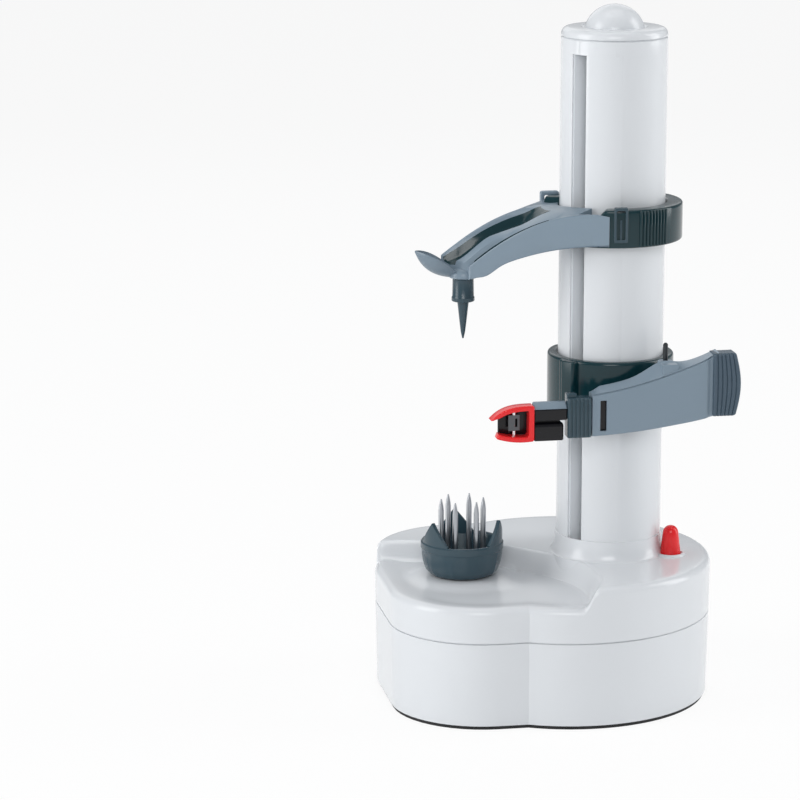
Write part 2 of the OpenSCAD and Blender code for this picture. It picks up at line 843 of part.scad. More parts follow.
module motor() {
    color(steel) centred()
        difference() {
            union() {
                at(motor_pos, motor_z) cylinder(r = motor_r, h = motor_len);
                at(motor_pos, bracket_z) cylinder(r = motor_boss_r, h = motor_z + 1 - bracket_z);
                for (side = [-1, 1])
                    translate([motor_pos[0] + side * 6 - 1.4, motor_pos[1] - 0.25, motor_z + motor_len - 1])
                        cube([2.8, 0.5, 3]);
            }
            at(motor_pos, bracket_z - 1) cylinder(r = motor_shaft_r + run_gap, h = 9, $fn = 32);
        }
}

module motor_bracket() {
    color(steel) centred()
        difference() {
            union() {
                at(motor_pos, bracket_z) cylinder(r = motor_r + 0.2, h = bracket_t);
                for (p = motor_post_pos)
                    at(p, bracket_z) cylinder(r = 3.2, h = bracket_t);
                translate([motor_pos[0] - bracket_reach, motor_pos[1] - 1, bracket_z])
                    cube([2 * bracket_reach, 5, bracket_t]);
            }
            at(motor_pos, bracket_z - 1) cylinder(r = motor_boss_r + seat_gap, h = bracket_t + 2);
            for (p = motor_post_pos)
                at(p, bracket_z - 1) cylinder(r = small_screw_r + seat_gap, h = bracket_t + 2, $fn = 32);
        }
}

module motor_pinion() {
    color(brass) centred() {
        at(motor_pos, motor_stage_z) gear(motor_module, pinion_teeth, pinion_phase, gear_w - 0.6);
        at(motor_pos, motor_stage_z) cylinder(r = motor_shaft_r, h = bracket_z + 7 - motor_stage_z, $fn = 32);
    }
}

module reduction_gear() {
    color(nylon) centred()
        at(reduction_pos)
            difference() {
                union() {
                    translate([0, 0, motor_stage_z])
                        gear(motor_module, reduction_large_teeth, 0, gear_w - 0.6);
                    translate([0, 0, motor_stage_z])
                        gear(middle_module, reduction_small_teeth, reduction_phase, 2 * gear_w);
                }
                translate([0, 0, plate_z]) cylinder(r = axle_d / 2 + run_gap, h = 30, $fn = 48);
            }
}

module drive_gear() {
    color(nylon) centred()
        at(drive_pos)
            difference() {
                union() {
                    translate([0, 0, plate_top + 0.3])
                        cylinder(r = axle_d / 2 + 1.6, h = middle_stage_z + 1 - plate_top, $fn = 48);
                    translate([0, 0, middle_stage_z + 0.4])
                        gear(middle_module, drive_large_teeth, 0, gear_w - 0.6);
                    translate([0, 0, middle_stage_z + 0.4])
                        gear(main_module, drive_small_teeth, drive_small_phase, main_stage_top - middle_stage_z);
                }
                translate([0, 0, plate_z]) cylinder(r = axle_d / 2 + run_gap, h = 40, $fn = 48);
            }
}

module gear_axles() {
    color(steel) centred() {
        at(drive_pos, plate_z) cylinder(r = axle_d / 2, h = main_stage_top + 2 - plate_z, $fn = 48);
        at(reduction_pos, plate_z)
            cylinder(r = axle_d / 2, h = motor_stage_z + 2 * gear_w + 1 - plate_z, $fn = 48);
    }
}

module spindle_gear() {
    color(nylon) centred()
        at([-food_x, 0])
            difference() {
                union() {
                    translate([0, 0, main_stage_z]) gear(main_module, spindle_teeth, spindle_phase, gear_w);
                    translate([0, 0, main_stage_z - 4]) cylinder(r = spindle_r + 3, h = gear_w + 5);
                }
                translate([0, 0, plate_z]) cylinder(r = spindle_r, h = platform_z);
                for (a = [0:60:300])
                    rotate(a) translate([spindle_r + 9.5, 0, main_stage_z - 1]) cylinder(r = 4, h = gear_w + 2);
            }
}

module spindle_shaft() {
    color(steel) centred()
        at([-food_x, 0]) {
            translate([0, 0, plate_z + 1]) cylinder(r = spindle_r - 1, h = 4);
            translate([0, 0, plate_top + 0.5]) cylinder(r = spindle_r, h = cup_z + cup_floor_t - 0.8 - plate_top - 0.5);
        }
}

module spindle_bearing() {
    color(brass) centred()
        at([-food_x, 0], bearing_z) tube(bearing_r, spindle_r + run_gap, bearing_top - bearing_z);
}

module food_cup() {
    inner_r = cup_rim_r - cup_wall;
    steps = 8;
    color(slate) centred()
        at([-food_x, 0])
            difference() {
                union() {
                    rotate_extrude($fn = 96)
                        polygon(concat(
                            [[0, cup_z], [cup_foot_r, cup_z]],
                            [
                                for (i = [0:steps])
                                let (t = i / steps)
                                [cup_foot_r + (cup_rim_r - cup_foot_r) * sin(90 * t), cup_z + 1 + (cup_h - 1) * t]
                            ],
                            [
                                [inner_r, cup_z + cup_h],
                                [cup_foot_r - cup_wall, cup_z + cup_floor_t],
                                [0, cup_z + cup_floor_t]
                            ]
                        ));
                    cup_teeth();
                }
                translate([0, 0, cup_z - 1]) cylinder(r = spindle_r, h = cup_floor_t + 0.2);
            }
}

// Triangular teeth that stand on the rim, cut from a tube by a prism each
module cup_teeth() {
    half_w = 8;
    for (i = [0:tooth_count - 1])
        rotate(tooth_dir + 360 * i / tooth_count)
            intersection() {
                translate([0, 0, cup_z + cup_h - 4])
                    rotate(180) tube(cup_rim_r - 0.4, cup_rim_r - cup_wall + 0.3, tooth_h + 4, $fn = 96);
                translate([cup_rim_r, 0, 0])
                    rotate([90, 0, -90])
                        linear_extrude(2 * cup_wall + 6)
                            polygon([
                                [-half_w, cup_z + cup_h - 1],
                                [half_w, cup_z + cup_h - 1],
                                [0, cup_z + cup_h + tooth_h]
                            ]);
            }
}

module cup_prongs() {
    taper = 5;
    color(steel) centred()
        for (i = [0:prong_count - 1])
            at([-food_x, 0])
                rotate(360 * i / prong_count)
                    translate([prong_ring_r, 0, cup_z + cup_floor_t]) {
                        cylinder(r = prong_d / 2, h = prong_len - taper, $fn = 24);
                        translate([0, 0, prong_len - taper])
                            cylinder(r1 = prong_d / 2, r2 = 0.3, h = taper, $fn = 24);
                    }
}

module lead_screw() {
    thread_z = slot_z + 2;
    turns = floor((upper_bush_z - 3 - thread_z) / thread_pitch);
    core_r = screw_d / 2 - thread_depth;
    color(steel) centred()
        rotate_extrude($fn = 48)
            polygon(concat(
                [[0, screw_foot_z], [screw_journal_r - 1, screw_foot_z], [screw_journal_r - 1, main_stage_z - 3]],
                [[screw_journal_r, main_stage_z - 3], [screw_journal_r, thread_z - 2], [core_r, thread_z - 2]],
                [
                    for (i = [0:turns - 1], p = [[0, 0], [1, 0.25], [1, 0.5], [0, 0.75]])
                    [core_r + p[0] * thread_depth, thread_z + (i + p[1]) * thread_pitch]
                ],
                [
                    [core_r, upper_bush_z - 1],
                    [screw_journal_r - 1, upper_bush_z - 1],
                    [screw_journal_r - 1, screw_top_z],
                    [0, screw_top_z]
                ]
            ));
}

module screw_gear() {
    color(nylon) centred()
        difference() {
            union() {
                translate([0, 0, main_stage_z]) gear(main_module, screw_teeth, screw_phase, gear_w);
                translate([0, 0, main_stage_z - 2]) cylinder(r = screw_journal_r + 3, h = gear_w + 4);
            }
            translate([0, 0, plate_z]) cylinder(r = screw_journal_r, h = platform_z);
        }
}

module lower_bush() {
    color(brass) centred()
        difference() {
            union() {
                translate([0, 0, plate_z]) cylinder(r = bush_r, h = plate_t);
                translate([0, 0, plate_top]) cylinder(r = bush_flange_r, h = 2);
            }
            translate([0, 0, plate_z - 1]) cylinder(r = screw_journal_r - 1 + run_gap, h = plate_t + 4);
        }
}

module upper_bush() {
    color(brass) centred()
        translate([0, 0, upper_bush_z]) tube(bush_r, screw_journal_r - 1 + run_gap, bush_len);
}

// ---- Column ----

// The two walls that stand inside the column, one on each side of the slot
module slot_walls() {
    for (side = [-1, 1])
        translate([slot_wall_r, side * (slot_w + slot_wall_t - 0.6) / 2 - slot_wall_t / 2 - 0.3, slot_z + 0.5])
            cube([column_in_r + 1 - slot_wall_r, slot_wall_t + 0.6, column_top - spigot_len - slot_z - 1]);
}

// Half of the column on the given side of the slot's plane
module column_half(side) {
    gap = 0.05;
    difference() {
        union() {
            translate([0, 0, column_foot_z])
                tube(column_r, column_in_r, column_top - column_foot_z, $fn = 128);
            difference() {
                for (a = tab_dirs)
                    rotate(a) translate([column_in_r + 0.5, -tab_w / 2, tab_z]) cube([tab_reach + 2, tab_w, tab_t]);
                translate([0, 0, tab_z - 1]) cylinder(r = column_in_r, h = tab_t + 2, $fn = 128);
            }
            rotate(slot_angle) slot_walls();
        }
        for (a = tab_dirs)
            rotate(a) translate([tab_screw_r, 0, tab_z - 1]) cylinder(r = small_screw_r, h = tab_t + 2, $fn = 32);
        rotate(slot_angle)
            translate([slot_wall_r - 1, -slot_w / 2, slot_z])
                cube([column_r + 4 - slot_wall_r, slot_w, slot_top - slot_z]);
        rotate(slot_angle) translate([-60, side > 0 ? -60 : -gap, 0]) cube([120, 60 + gap, column_top + 1]);
    }
}

module column_front_shell() {
    color(white) centred() column_half(1);
}

module column_rear_shell() {
    color(white) centred() column_half(-1);
}

module column_cap() {
    color(white) centred()
        difference() {
            union() {
                rounded_disc(column_r, 0, column_top, column_top + cap_t, cap_round, $fn = 128);
                translate([0, 0, column_top - spigot_len])
                    tube(column_in_r - seat_gap, column_in_r - 2.2, spigot_len + 1, $fn = 128);
                translate([0, 0, upper_bush_z]) cylinder(r = bush_r + 2, h = column_top + 1 - upper_bush_z);
            }
            translate([0, 0, upper_bush_z - 1]) cylinder(r = bush_r, h = bush_len + 3);
            translate([0, 0, column_top + cap_t - 0.8]) cylinder(r = dome_r + seat_gap, h = 2, $fn = 96);
        }
}

module cap_dome() {
    seat_z = column_top + cap_t;
    ball_r = (dome_r * dome_r + dome_h * dome_h) / (2 * dome_h);
    color(white) centred() {
        translate([0, 0, seat_z - 0.8]) cylinder(r = dome_r, h = 0.8, $fn = 96);
        intersection() {
            translate([0, 0, seat_z + dome_h - ball_r]) sphere(r = ball_r, $fn = 96);
            translate([0, 0, seat_z]) cylinder(r = dome_r + 1, h = dome_h + 1, $fn = 96);
        }
    }
}

// ---- Carriage ----

module carriage_clip() {
    color(slate) centred()
        difference() {
            union() {
                open_ring(clip_in_r, clip_out_r, carriage_z, carriage_h);
                rotate(slot_angle)
                    translate([clip_in_r + 0.6, -slot_w / 2 - 1.5, carriage_z + rib_step])
                        cube([rib_r - clip_in_r - 0.6, slot_w + 3, carriage_h - 2 * rib_step]);
                hinge_lug();
            }
            rotate(slot_angle)
                translate([clip_in_r - 2, -tongue_w / 2 - seat_gap, nut_z - seat_gap])
                    cube([tongue_end - clip_in_r + 2 + seat_gap, tongue_w + 2 * seat_gap, nut_h + 2 * seat_gap]);
            at(hinge_pos, lug_z - 1) cylinder(r = pin_d / 2, h = lug_h + 2, $fn = 32);
        }
}

// The lug between the arm's two knuckles
module hinge_lug() {
    lug_dir = atan2(-hinge_y, hinge_x);
    reach = norm(hinge_pos);
    at(hinge_pos, lug_z) cylinder(r = knuckle_r - 0.2, h = lug_h, $fn = 48);
    rotate(lug_dir)
        translate([clip_in_r + 1, -2.2, lug_z + rib_step])
            cube([reach - clip_in_r - 1, 4.4, lug_h - 2 * rib_step]);
}

module follower_nut() {
    bore_r = screw_d / 2 + 0.25;
    color(nylon) centred()
        rotate(slot_angle)
            difference() {
                union() {
                    translate([0, 0, nut_z]) cylinder(r = nut_r, h = nut_h);
                    translate([nut_r - 3, -tongue_w / 2, nut_z]) cube([tongue_end - nut_r + 3, tongue_w, nut_h]);
                }
                translate([0, 0, nut_z - 1]) cylinder(r = bore_r, h = nut_h + 2);
                translate([-nut_r - 1, -nut_r - 1, nut_z - 1]) cube([nut_r - 2, 2 * nut_r + 2, nut_h + 2]);
            }
}

module hinge_pin() {
    color(steel) centred() {
        at(hinge_pos, knuckle_low_z + 0.6)
            cylinder(r = pin_d / 2, h = pin_top_z - knuckle_low_z - 1.2, $fn = 32);
        at(hinge_pos, pin_top_z - 0.6) cylinder(r1 = pin_d / 2, r2 = pin_d / 4, h = 0.6, $fn = 32);
    }
}

// Torsion spring round the pin, over the lug, with a leg to the clip and a leg to the arm
module arm_spring() {
    z0 = lug_z + lug_h + spring_wire / 2 + 0.1;
    color(steel) centred()
        at(hinge_pos)
            rotate(90) coil(spring_r, spring_wire / 2, z0, z0 + (spring_turns - 0.5) * spring_step, spring_turns - 0.5, 7, 12);
}

// ---- Peeling arm ----

function arm_xs(from, to) = [for (i = [0:arm_steps]) from + (to - from) * i / arm_steps];
function arm_band(from, to, wall_t) = concat(
    [for (x = arm_xs(from, to)) [x, arm_under(x) + wall_t]],
    [for (x = arm_xs(to, from)) [x, arm_crease(x) - wall_t]]
);

module peeling_arm() {
    color(slate) centred()
        difference() {
            union() {
                side_plate(arm_band(-arm_left, arm_right, 0), -arm_front, -arm_back);
                arm_rear_edge();
                arm_grip_block(0);
                arm_knuckle(knuckle_low_z, lug_z - slide_gap);
                arm_knuckle(lug_z + lug_h + spring_turns * spring_step + 0.4, knuckle_top_z);
                translate([-arm_left - 5, -arm_front + 2.4, arm_z + 3]) cube([7, 3.4, arm_h_left - 7.6]);
            }
            side_plate(arm_band(-arm_left + arm_wall, arm_right - 1, arm_wall), -arm_front + arm_wall, 0);
            translate([-arm_left + 3.6, -arm_front - 1, arm_z + 1.6]) cube([2.4, arm_depth - 1, arm_h_left - 4.6]);
            arm_grip_pad_shape(seat_gap);
            at(hinge_pos, arm_z - 5) cylinder(r = pin_d / 2 + run_gap, h = 50, $fn = 32);
        }
}

// The rear edge rises above the front edge and carries the arm's upper bevel
module arm_rear_edge() {
    difference() {
        side_plate(
            concat(
                [for (x = arm_xs(-arm_left, arm_right)) [x, arm_crease(x) - arm_wall]],
                [for (x = arm_xs(arm_right, -arm_left)) [x, arm_rear(x)]]
            ),
            -arm_back - 3,
            -arm_back
        );
    }
}

// The block that joins a knuckle to the arm's front wall
module arm_knuckle(z0, z1) {
    at(hinge_pos, z0) cylinder(r = knuckle_r, h = z1 - z0, $fn = 48);
    translate([hinge_x - knuckle_r, -arm_front + arm_wall - 0.5, z0])
        cube([2 * knuckle_r, arm_front - arm_wall + 0.5 - hinge_y, z1 - z0]);
}

module arm_grip_block(inset) {
    bow = 4;
    z0 = arm_end_z + inset;
    z1 = arm_end_top + inset;
    xs = [for (i = [0:8]) i / 8];
    side_plate(
        concat(
            [[arm_right - bow, z0 - 0.4], [arm_right + grip_len - grip_bulge, z0]],
            [
                for (t = xs)
                [arm_right + grip_len - grip_bulge + grip_bulge * 2 * sin(180 * t), z0 + (z1 - z0) * t]
            ],
            [[arm_right - bow, z1 - 0.8]]
        ),
        -arm_front,
        -arm_back
    );
}

// The ribbed pad set in the grip's front face
module arm_grip_pad_shape(grow) {
    translate([arm_right + 1 - grow, -arm_front - grow, arm_end_z + 1.4 - grow])
        cube([grip_len - 3.4 + 2 * grow, 1.2 + grow, arm_h_right - 2.8 + 2 * grow]);
}

module grip_pad() {
    rib_n = 6;
    pitch = (grip_len - 3.4) / rib_n;
    color(black) centred() {
        arm_grip_pad_shape(0);
        for (i = [0:rib_n - 1])
            translate([arm_right + 1 + (i + 0.5) * pitch, -arm_front, arm_end_z + 1.8])
                cylinder(r = pitch * 0.34, h = arm_h_right - 3.6, $fn = 24);
    }
}

module blade_clip() {
    rib_pitch = clip_len / clip_ribs;
    color(slate) centred()
        difference() {
            union() {
                translate([clip_left, -head_front + 0.6, clip_z]) cube([clip_len, arm_depth - 1.4, clip_h]);
                for (i = [0:clip_ribs - 1])
                    translate([clip_left + (i + 0.5) * rib_pitch, -head_front + 0.7, clip_z])
                        cylinder(r = rib_pitch * 0.36, h = clip_h, $fn = 24);
                translate([clip_left, -head_front + 2.6, clip_z + clip_h - 0.5])
                    cube([clip_len * 0.4, arm_depth - 3.4, 2.2]);
            }
            translate([clip_right - 5.2, -arm_front + 2.4 - seat_gap, arm_z + 3 - seat_gap])
                cube([6, 3.4 + 2 * seat_gap, arm_h_left - 7.6 + 2 * seat_gap]);
            translate([clip_left - 1, -head_front + 2.2 - seat_gap, stem_z + stem_h - stem_bar_h + 1 - seat_gap])
                cube([5 + seat_gap, 3 + 2 * seat_gap, stem_bar_h - 3 + 2 * seat_gap]);
        }
}

// The plate behind the blade and the guard
module blade_plate() {
    left = blade_x - 6;
    side_plate(
        [
            [stem_left + 3, guard_z + 1.6],
            [stem_left + 3, guard_z + guard_h - 1.6],
            [left + 5, guard_z + guard_h - 2.6],
            [left, guard_z + guard_h - 5.4],
            [left, guard_z + 1.6]
        ],
        -head_back + seat_gap,
        -head_back + seat_gap + 1.2
    );
}

module blade_stem() {
    low_right = clip_left - stem_gap;
    bar_front = -head_front + 1;
    color(black) centred() {
        translate([stem_left, bar_front, stem_z + stem_h - stem_bar_h])
            cube([clip_left - stem_left - 0.05, 4.6, stem_bar_h]);
        translate([stem_left, bar_front, stem_z]) cube([low_right - stem_left, 4.6, stem_bar_h]);
        translate([stem_left, bar_front + 2.6, stem_z + 1]) cube([low_right - stem_left - 1, 1.8, stem_h - 2]);
        translate([clip_left - 2, -head_front + 2.2, stem_z + stem_h - stem_bar_h + 1])
            cube([6, 3, stem_bar_h - 3]);
        blade_plate();
        translate([stem_left + 0.1, -head_back - 2, stem_z + 2])
            cube([3.4, 3 + seat_gap, stem_h - 4]);
    }
}

function guard_top(x) = bowed(x, guard_left, guard_tip_z, stem_left, guard_z + guard_h, 1.6);
function guard_low(x) = bowed(x, guard_low_left, guard_z + 1.4, stem_left, guard_z, -0.9);
function guard_xs(from, to) = [for (i = [0:12]) from + (to - from) * i / 12];

module blade_guard() {
    in_right = stem_left - 2.2;
    color(red) centred()
        difference() {
            side_plate(
                concat(
                    [for (x = guard_xs(guard_low_left, stem_left - 0.05)) [x, guard_low(x)]],
                    [for (x = guard_xs(stem_left - 0.05, guard_left)) [x, guard_top(x)]],
                    [for (x = guard_xs(guard_left + 0.6, in_right)) [x, guard_top(x) - guard_frame]],
                    [for (x = guard_xs(in_right, guard_low_left)) [x, guard_low(x) + guard_frame]]
                ),
                -head_front,
                -head_back
            );
            blade_pin_holes();
        }
}

module blade_pin_holes() {
    translate([blade_x, blade_y, guard_z - 3]) cylinder(r = 0.7, h = guard_h + 6, $fn = 24);
}

module blade() {
    color(steel) centred()
        translate([blade_x, blade_y, 0])
            rotate(blade_turn)
                difference() {
                    translate([-blade_w / 2, -blade_t / 2, blade_low_z])
                        cube([blade_w, blade_t, blade_high_z - blade_low_z]);
                    translate([blade_w * 0.1, -2, blade_low_z + 1.6])
                        cube([0.9, 4, blade_high_z - blade_low_z - 3.2]);
                }
}

module blade_pins() {
    color(steel) centred() {
        translate([blade_x, blade_y, guard_low(blade_x) + 0.4])
            cylinder(r = 0.7, h = blade_low_z - guard_low(blade_x) - 0.4, $fn = 24);
        translate([blade_x, blade_y, blade_high_z])
            cylinder(r = 0.7, h = guard_top(blade_x) - 0.4 - blade_high_z, $fn = 24);
    }
}

// ---- Food holder ----

module holder_collar() {
    color(slate) centred()
        difference() {
            union() {
                open_ring(collar_in_r, collar_out_r, collar_z, collar_h);
                for (i = [0:rib_count - 1])
                    rotate(-88 + 38 * i / (rib_count - 1))
                        translate([collar_out_r, 0, collar_z + rib_step])
                            cylinder(r = 0.7, h = collar_h - 2 * rib_step, $fn = 24);
                collar_ear(0);
            }
            rotate(latch_dir)
                translate([collar_out_r - 1.6, -latch_w / 2 - seat_gap, collar_z + 2.4])
                    cube([4, latch_w + 2 * seat_gap, collar_h]);
            rotate(groove_dir) translate([collar_out_r - 1.6, -1.2, collar_z - 1]) cube([4, 2.4, collar_h + 2]);
            translate([-collar_out_r - 1, -5 - seat_gap, collar_z + 3 - seat_gap])
                cube([4 + seat_gap, 10 + 2 * seat_gap, collar_h - 6 + 2 * seat_gap]);
        }
}

// The ear at the collar's open end, which the arm's root is cut back from
module collar_ear(grow) {
    rotate(clip_open_to + 3)
        translate([collar_out_r - 2, -3 - grow, collar_z + 5 - grow])
            cube([ear_reach + grow, 6 + 2 * grow, collar_h - 4.2 + 2 * grow]);
}

module collar_latch() {
    h = collar_h - 2 + 0.8;
    color(slate) centred()
        rotate(latch_dir)
            difference() {
                translate([collar_out_r - 1.5, -latch_w / 2, collar_z + 2.5]) cube([2.7, latch_w, h]);
                translate([collar_out_r + 0.2, -latch_w / 2 + 1.1, collar_z + 3.8])
                    cube([4, latch_w - 2.2, h - 2.6]);
            }
}

function holder_xs(from, to) = [for (i = [0:holder_steps]) from + (to - from) * i / holder_steps];

// The arm between its underside and the given top line, as wide as its plan
module holder_body(share, top_root, top_tip, top_bow, inset) {
    x0 = holder_root_x;
    x1 = holder_tip_x;
    root_w = (holder_root_half_w - inset) * share;
    tip_w = (tip_half_w - inset) * (share == 1 ? 1 : 0.7);
    intersection() {
        side_plate(
            concat(
                [for (x = holder_xs(x0, x1)) [x, under(x) - (inset > 0 ? 4 : 0)]],
                [for (x = holder_xs(x1, x0)) [x, holder_line(x, top_root, top_tip, top_bow) - inset]]
            ),
            -holder_root_half_w,
            holder_root_half_w
        );
        translate([0, 0, collar_z - 2 * collar_h])
            linear_extrude(4 * collar_h)
                polygon([[x0, -root_w], [x1 + inset, -tip_w], [x1 + inset, tip_w], [x0, root_w]]);
    }
}

module holder_arm() {
    color(slate) centred()
        difference() {
            union() {
                difference() {
                    union() {
                        holder_body(1, crease_root_z, crease_tip_z, crease_bow, 0);
                        holder_body(crest_share, crest_root_z, crest_tip_z, crest_bow, 0);
                    }
                    holder_body(1, crease_root_z, crease_tip_z, crease_bow, holder_wall);
                }
                at([-food_x, 0], under_tip_z) cylinder(r = spike_boss_r, h = spike_boss_top - under_tip_z);
                holder_tip();
                thumb_tab();
                translate([-collar_out_r - 1.5, -5, collar_z + 3]) cube([4.4, 10, collar_h - 6]);
            }
            holder_root_space();
            collar_ear(seat_gap);
            at([-food_x, 0], sleeve_z) cylinder(r = sleeve_r + slide_gap, h = under_tip_z - 0.1 - sleeve_z);
            at([-food_x, 0], under_tip_z - 5) cylinder(r = spike_shaft_r + run_gap, h = 60, $fn = 48);
            at([-food_x, 0], spike_boss_top) cylinder(r = spike_boss_r + 0.2, h = 30, $fn = 48);
        }
}

// The rounded end round the spike's boss, which slopes down to its tip
module holder_tip() {
    r = tip_half_w + 0.6;
    intersection() {
        at([-food_x, 0], under_tip_z) cylinder(r = r, h = 30);
        side_plate([
            [-food_x - r - 1, under_tip_z - 1],
            [holder_tip_x + 0.01, under_tip_z - 1],
            [holder_tip_x + 0.01, crest_tip_z],
            [-food_x - r - 1, crest_tip_z - 5]
        ], -10, 10);
    }
}

// Only the tenon enters the collar
module holder_root_space() {
    difference() {
        translate([0, 0, collar_z - 5]) cylinder(r = collar_out_r, h = 40, $fn = 128);
        translate([-collar_out_r - 2, -5, collar_z + 3]) cube([5, 10, collar_h - 6]);
    }
}

// A trough-shaped tab that rises from the arm's end
module thumb_tab() {
    outline_r = (tab_len * tab_len + tab_half_w * tab_half_w) / (2 * tab_half_w);
    translate([-food_x - 2, 0, under_tip_z - 0.9])
        rotate([0, tab_tilt, 0])
            intersection() {
                translate([0, 0, tab_curve_r])
                    rotate([0, -90, 0])
                        translate([0, 0, -1]) tube(tab_curve_r, tab_curve_r - tab_plate_t, tab_len + 6, $fn = 96);
                translate([0, 0, -1]) cylinder(r = tab_len, h = tab_curve_r - 1, $fn = 96);
                intersection_for (side = [-1, 1])
                    translate([0, side * (outline_r - tab_half_w), -1])
                        cylinder(r = outline_r, h = tab_curve_r, $fn = 128);
            }
}

module top_spike() {
    tip_len = 6;
    color(slate) centred()
        at([-food_x, 0]) {
            translate([0, 0, sleeve_z]) cylinder(r = sleeve_r, h = sleeve_len);
            translate([0, 0, sleeve_z + 1])
                cylinder(r = spike_shaft_r, h = spike_ring_z - sleeve_z - 1 + 0.001, $fn = 48);
            translate([0, 0, spike_ring_z - 0.01]) cylinder(r = 1.5, h = spike_ring_t + 0.02, $fn = 48);
            translate([0, 0, spike_ring_z + spike_ring_t])
                cylinder(r = spike_shaft_r, h = spike_shaft_top - spike_ring_z - spike_ring_t, $fn = 48);
            translate([0, 0, sleeve_z - spike_len + tip_len])
                cylinder(r1 = 1.6, r2 = 2.5, h = spike_len - tip_len + 0.5, $fn = 48);
            translate([0, 0, sleeve_z - spike_len]) cylinder(r1 = 0.3, r2 = 1.6, h = tip_len, $fn = 48);
        }
}

module spike_ring() {
    color(steel) centred()
        at([-food_x, 0], spike_ring_z)
            difference() {
                tube(3.6, 1.5 + seat_gap, spike_ring_t, $fn = 48);
                translate([0, -0.9, -1]) cube([6, 1.8, 4]);
            }
}

// ---- Start button and switches ----

module start_button() {
    top_r = button_r - 1.4;
    body_h = platform_z + button_h - top_r - button_z;
    color(red) centred()
        at(button_pos) {
            translate([0, 0, button_stem_z]) cylinder(r = button_stem_r, h = button_z + 0.5 - button_stem_z, $fn = 48);
            translate([0, 0, platform_under - slide_gap - 0.5])
                cylinder(r = button_r - 0.4, h = button_z + 1 - platform_under, $fn = 48);
            difference() {
                translate([0, 0, platform_under - slide_gap - keeper_t])
                    cylinder(r = keeper_r, h = keeper_t, $fn = 48);
                translate([-button_x, button_y, 0]) cylinder(r = column_r + slide_gap, h = platform_z, $fn = 128);
            }
            translate([0, 0, button_z]) cylinder(r1 = button_r, r2 = top_r, h = body_h, $fn = 64);
            translate([0, 0, button_z + body_h]) sphere(r = top_r, $fn = 64);
        }
}

module button_bezel() {
    color(white) centred()
        at(button_pos, platform_z)
            difference() {
                cylinder(r1 = bezel_r, r2 = bezel_r - 0.7, h = bezel_h);
                translate([0, 0, -1]) cylinder(r = button_hole_r, h = bezel_h + 2);
                translate([-button_x, button_y, -1])
                    cylinder(r = column_r + slide_gap + foot_ring_w + seat_gap, h = bezel_h + 2, $fn = 128);
            }
}

// Compression spring round the button's stem, from the switch up to the keeper
module button_spring() {
    wire_r = 0.25;
    z0 = switch_top + wire_r;
    z1 = platform_under - slide_gap - keeper_t - wire_r;
    color(steel) centred()
        at(button_pos) coil(button_stem_r + 0.8, wire_r, z0, z1, 5, 0.3, 0.3);
}

module start_switch() {
    color(black) centred()
        at(button_pos) {
            translate([-switch_half_x + 1, -switch_half_y, switch_top - switch_h])
                cube([2 * switch_half_x, 2 * switch_half_y, switch_h]);
            translate([0, 0, switch_top - 1]) cylinder(r = 1.2, h = 1.6, $fn = 32);
        }
}

module stop_switch() {
    body_z = column_foot_z + 4;
    color(black) centred() {
        translate([-5, column_in_r - 8.4, body_z]) cube([10, 7.6, 10]);
        translate([0, column_in_r - 5, body_z + 9]) cylinder(r = 1.2, h = 3, $fn = 32);
    }
}

// ---- Fasteners ----

module case_screws() {
    color(steel) centred()
        for (p = case_tower_pos)
            at(p) screw(case_head_z, 17);
}

module plate_screws() {
    color(steel) centred()
        for (p = plate_post_pos)
            at(p) screw(plate_z, plate_t + 7, screw_shank_r, 2.6, 1.6);
}

module column_screws() {
    color(steel) centred()
        for (a = tab_dirs)
            rotate(a) translate([tab_screw_r, 0, 0]) screw(tab_z, tab_t + 1.4, small_screw_r - run_gap, 2.2, 1.4);
}

module motor_screws() {
    color(steel) centred()
        for (p = motor_post_pos)
            at(p)
                mirror([0, 0, 1]) screw(-bracket_z - bracket_t, 5, small_screw_r - run_gap, 2.2, 1.2);
}

// ---- Nodes ----

base_upper_shell();
base_lower_shell();
foot_ring();
battery_door();
battery_cells();
battery_contacts();
gear_plate();
motor();
motor_bracket();
motor_pinion();
reduction_gear();
drive_gear();
gear_axles();
spindle_gear();
spindle_shaft();
spindle_bearing();
food_cup();
cup_prongs();
lead_screw();
screw_gear();
lower_bush();
upper_bush();
column_front_shell();
column_rear_shell();
column_cap();
cap_dome();
carriage_clip();
follower_nut();
hinge_pin();
arm_spring();
peeling_arm();
grip_pad();
blade_clip();
blade_stem();
blade_guard();
blade();
blade_pins();
holder_collar();
holder_arm();
collar_latch();
top_spike();
spike_ring();
start_button();
button_bezel();
button_spring();
start_switch();
stop_switch();
power_jack();
case_screws();
plate_screws();
column_screws();
motor_screws();
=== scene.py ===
"""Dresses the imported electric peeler: moulded shells, arms, blade head, cup and finishes, on a plain stage.

Every shape is a function of two parameters on a grid. Lengths are in millimetres, and X is counted
from the column's axis, until a piece is placed in the frame, which is in metres.
"""

import functools
import json
import math

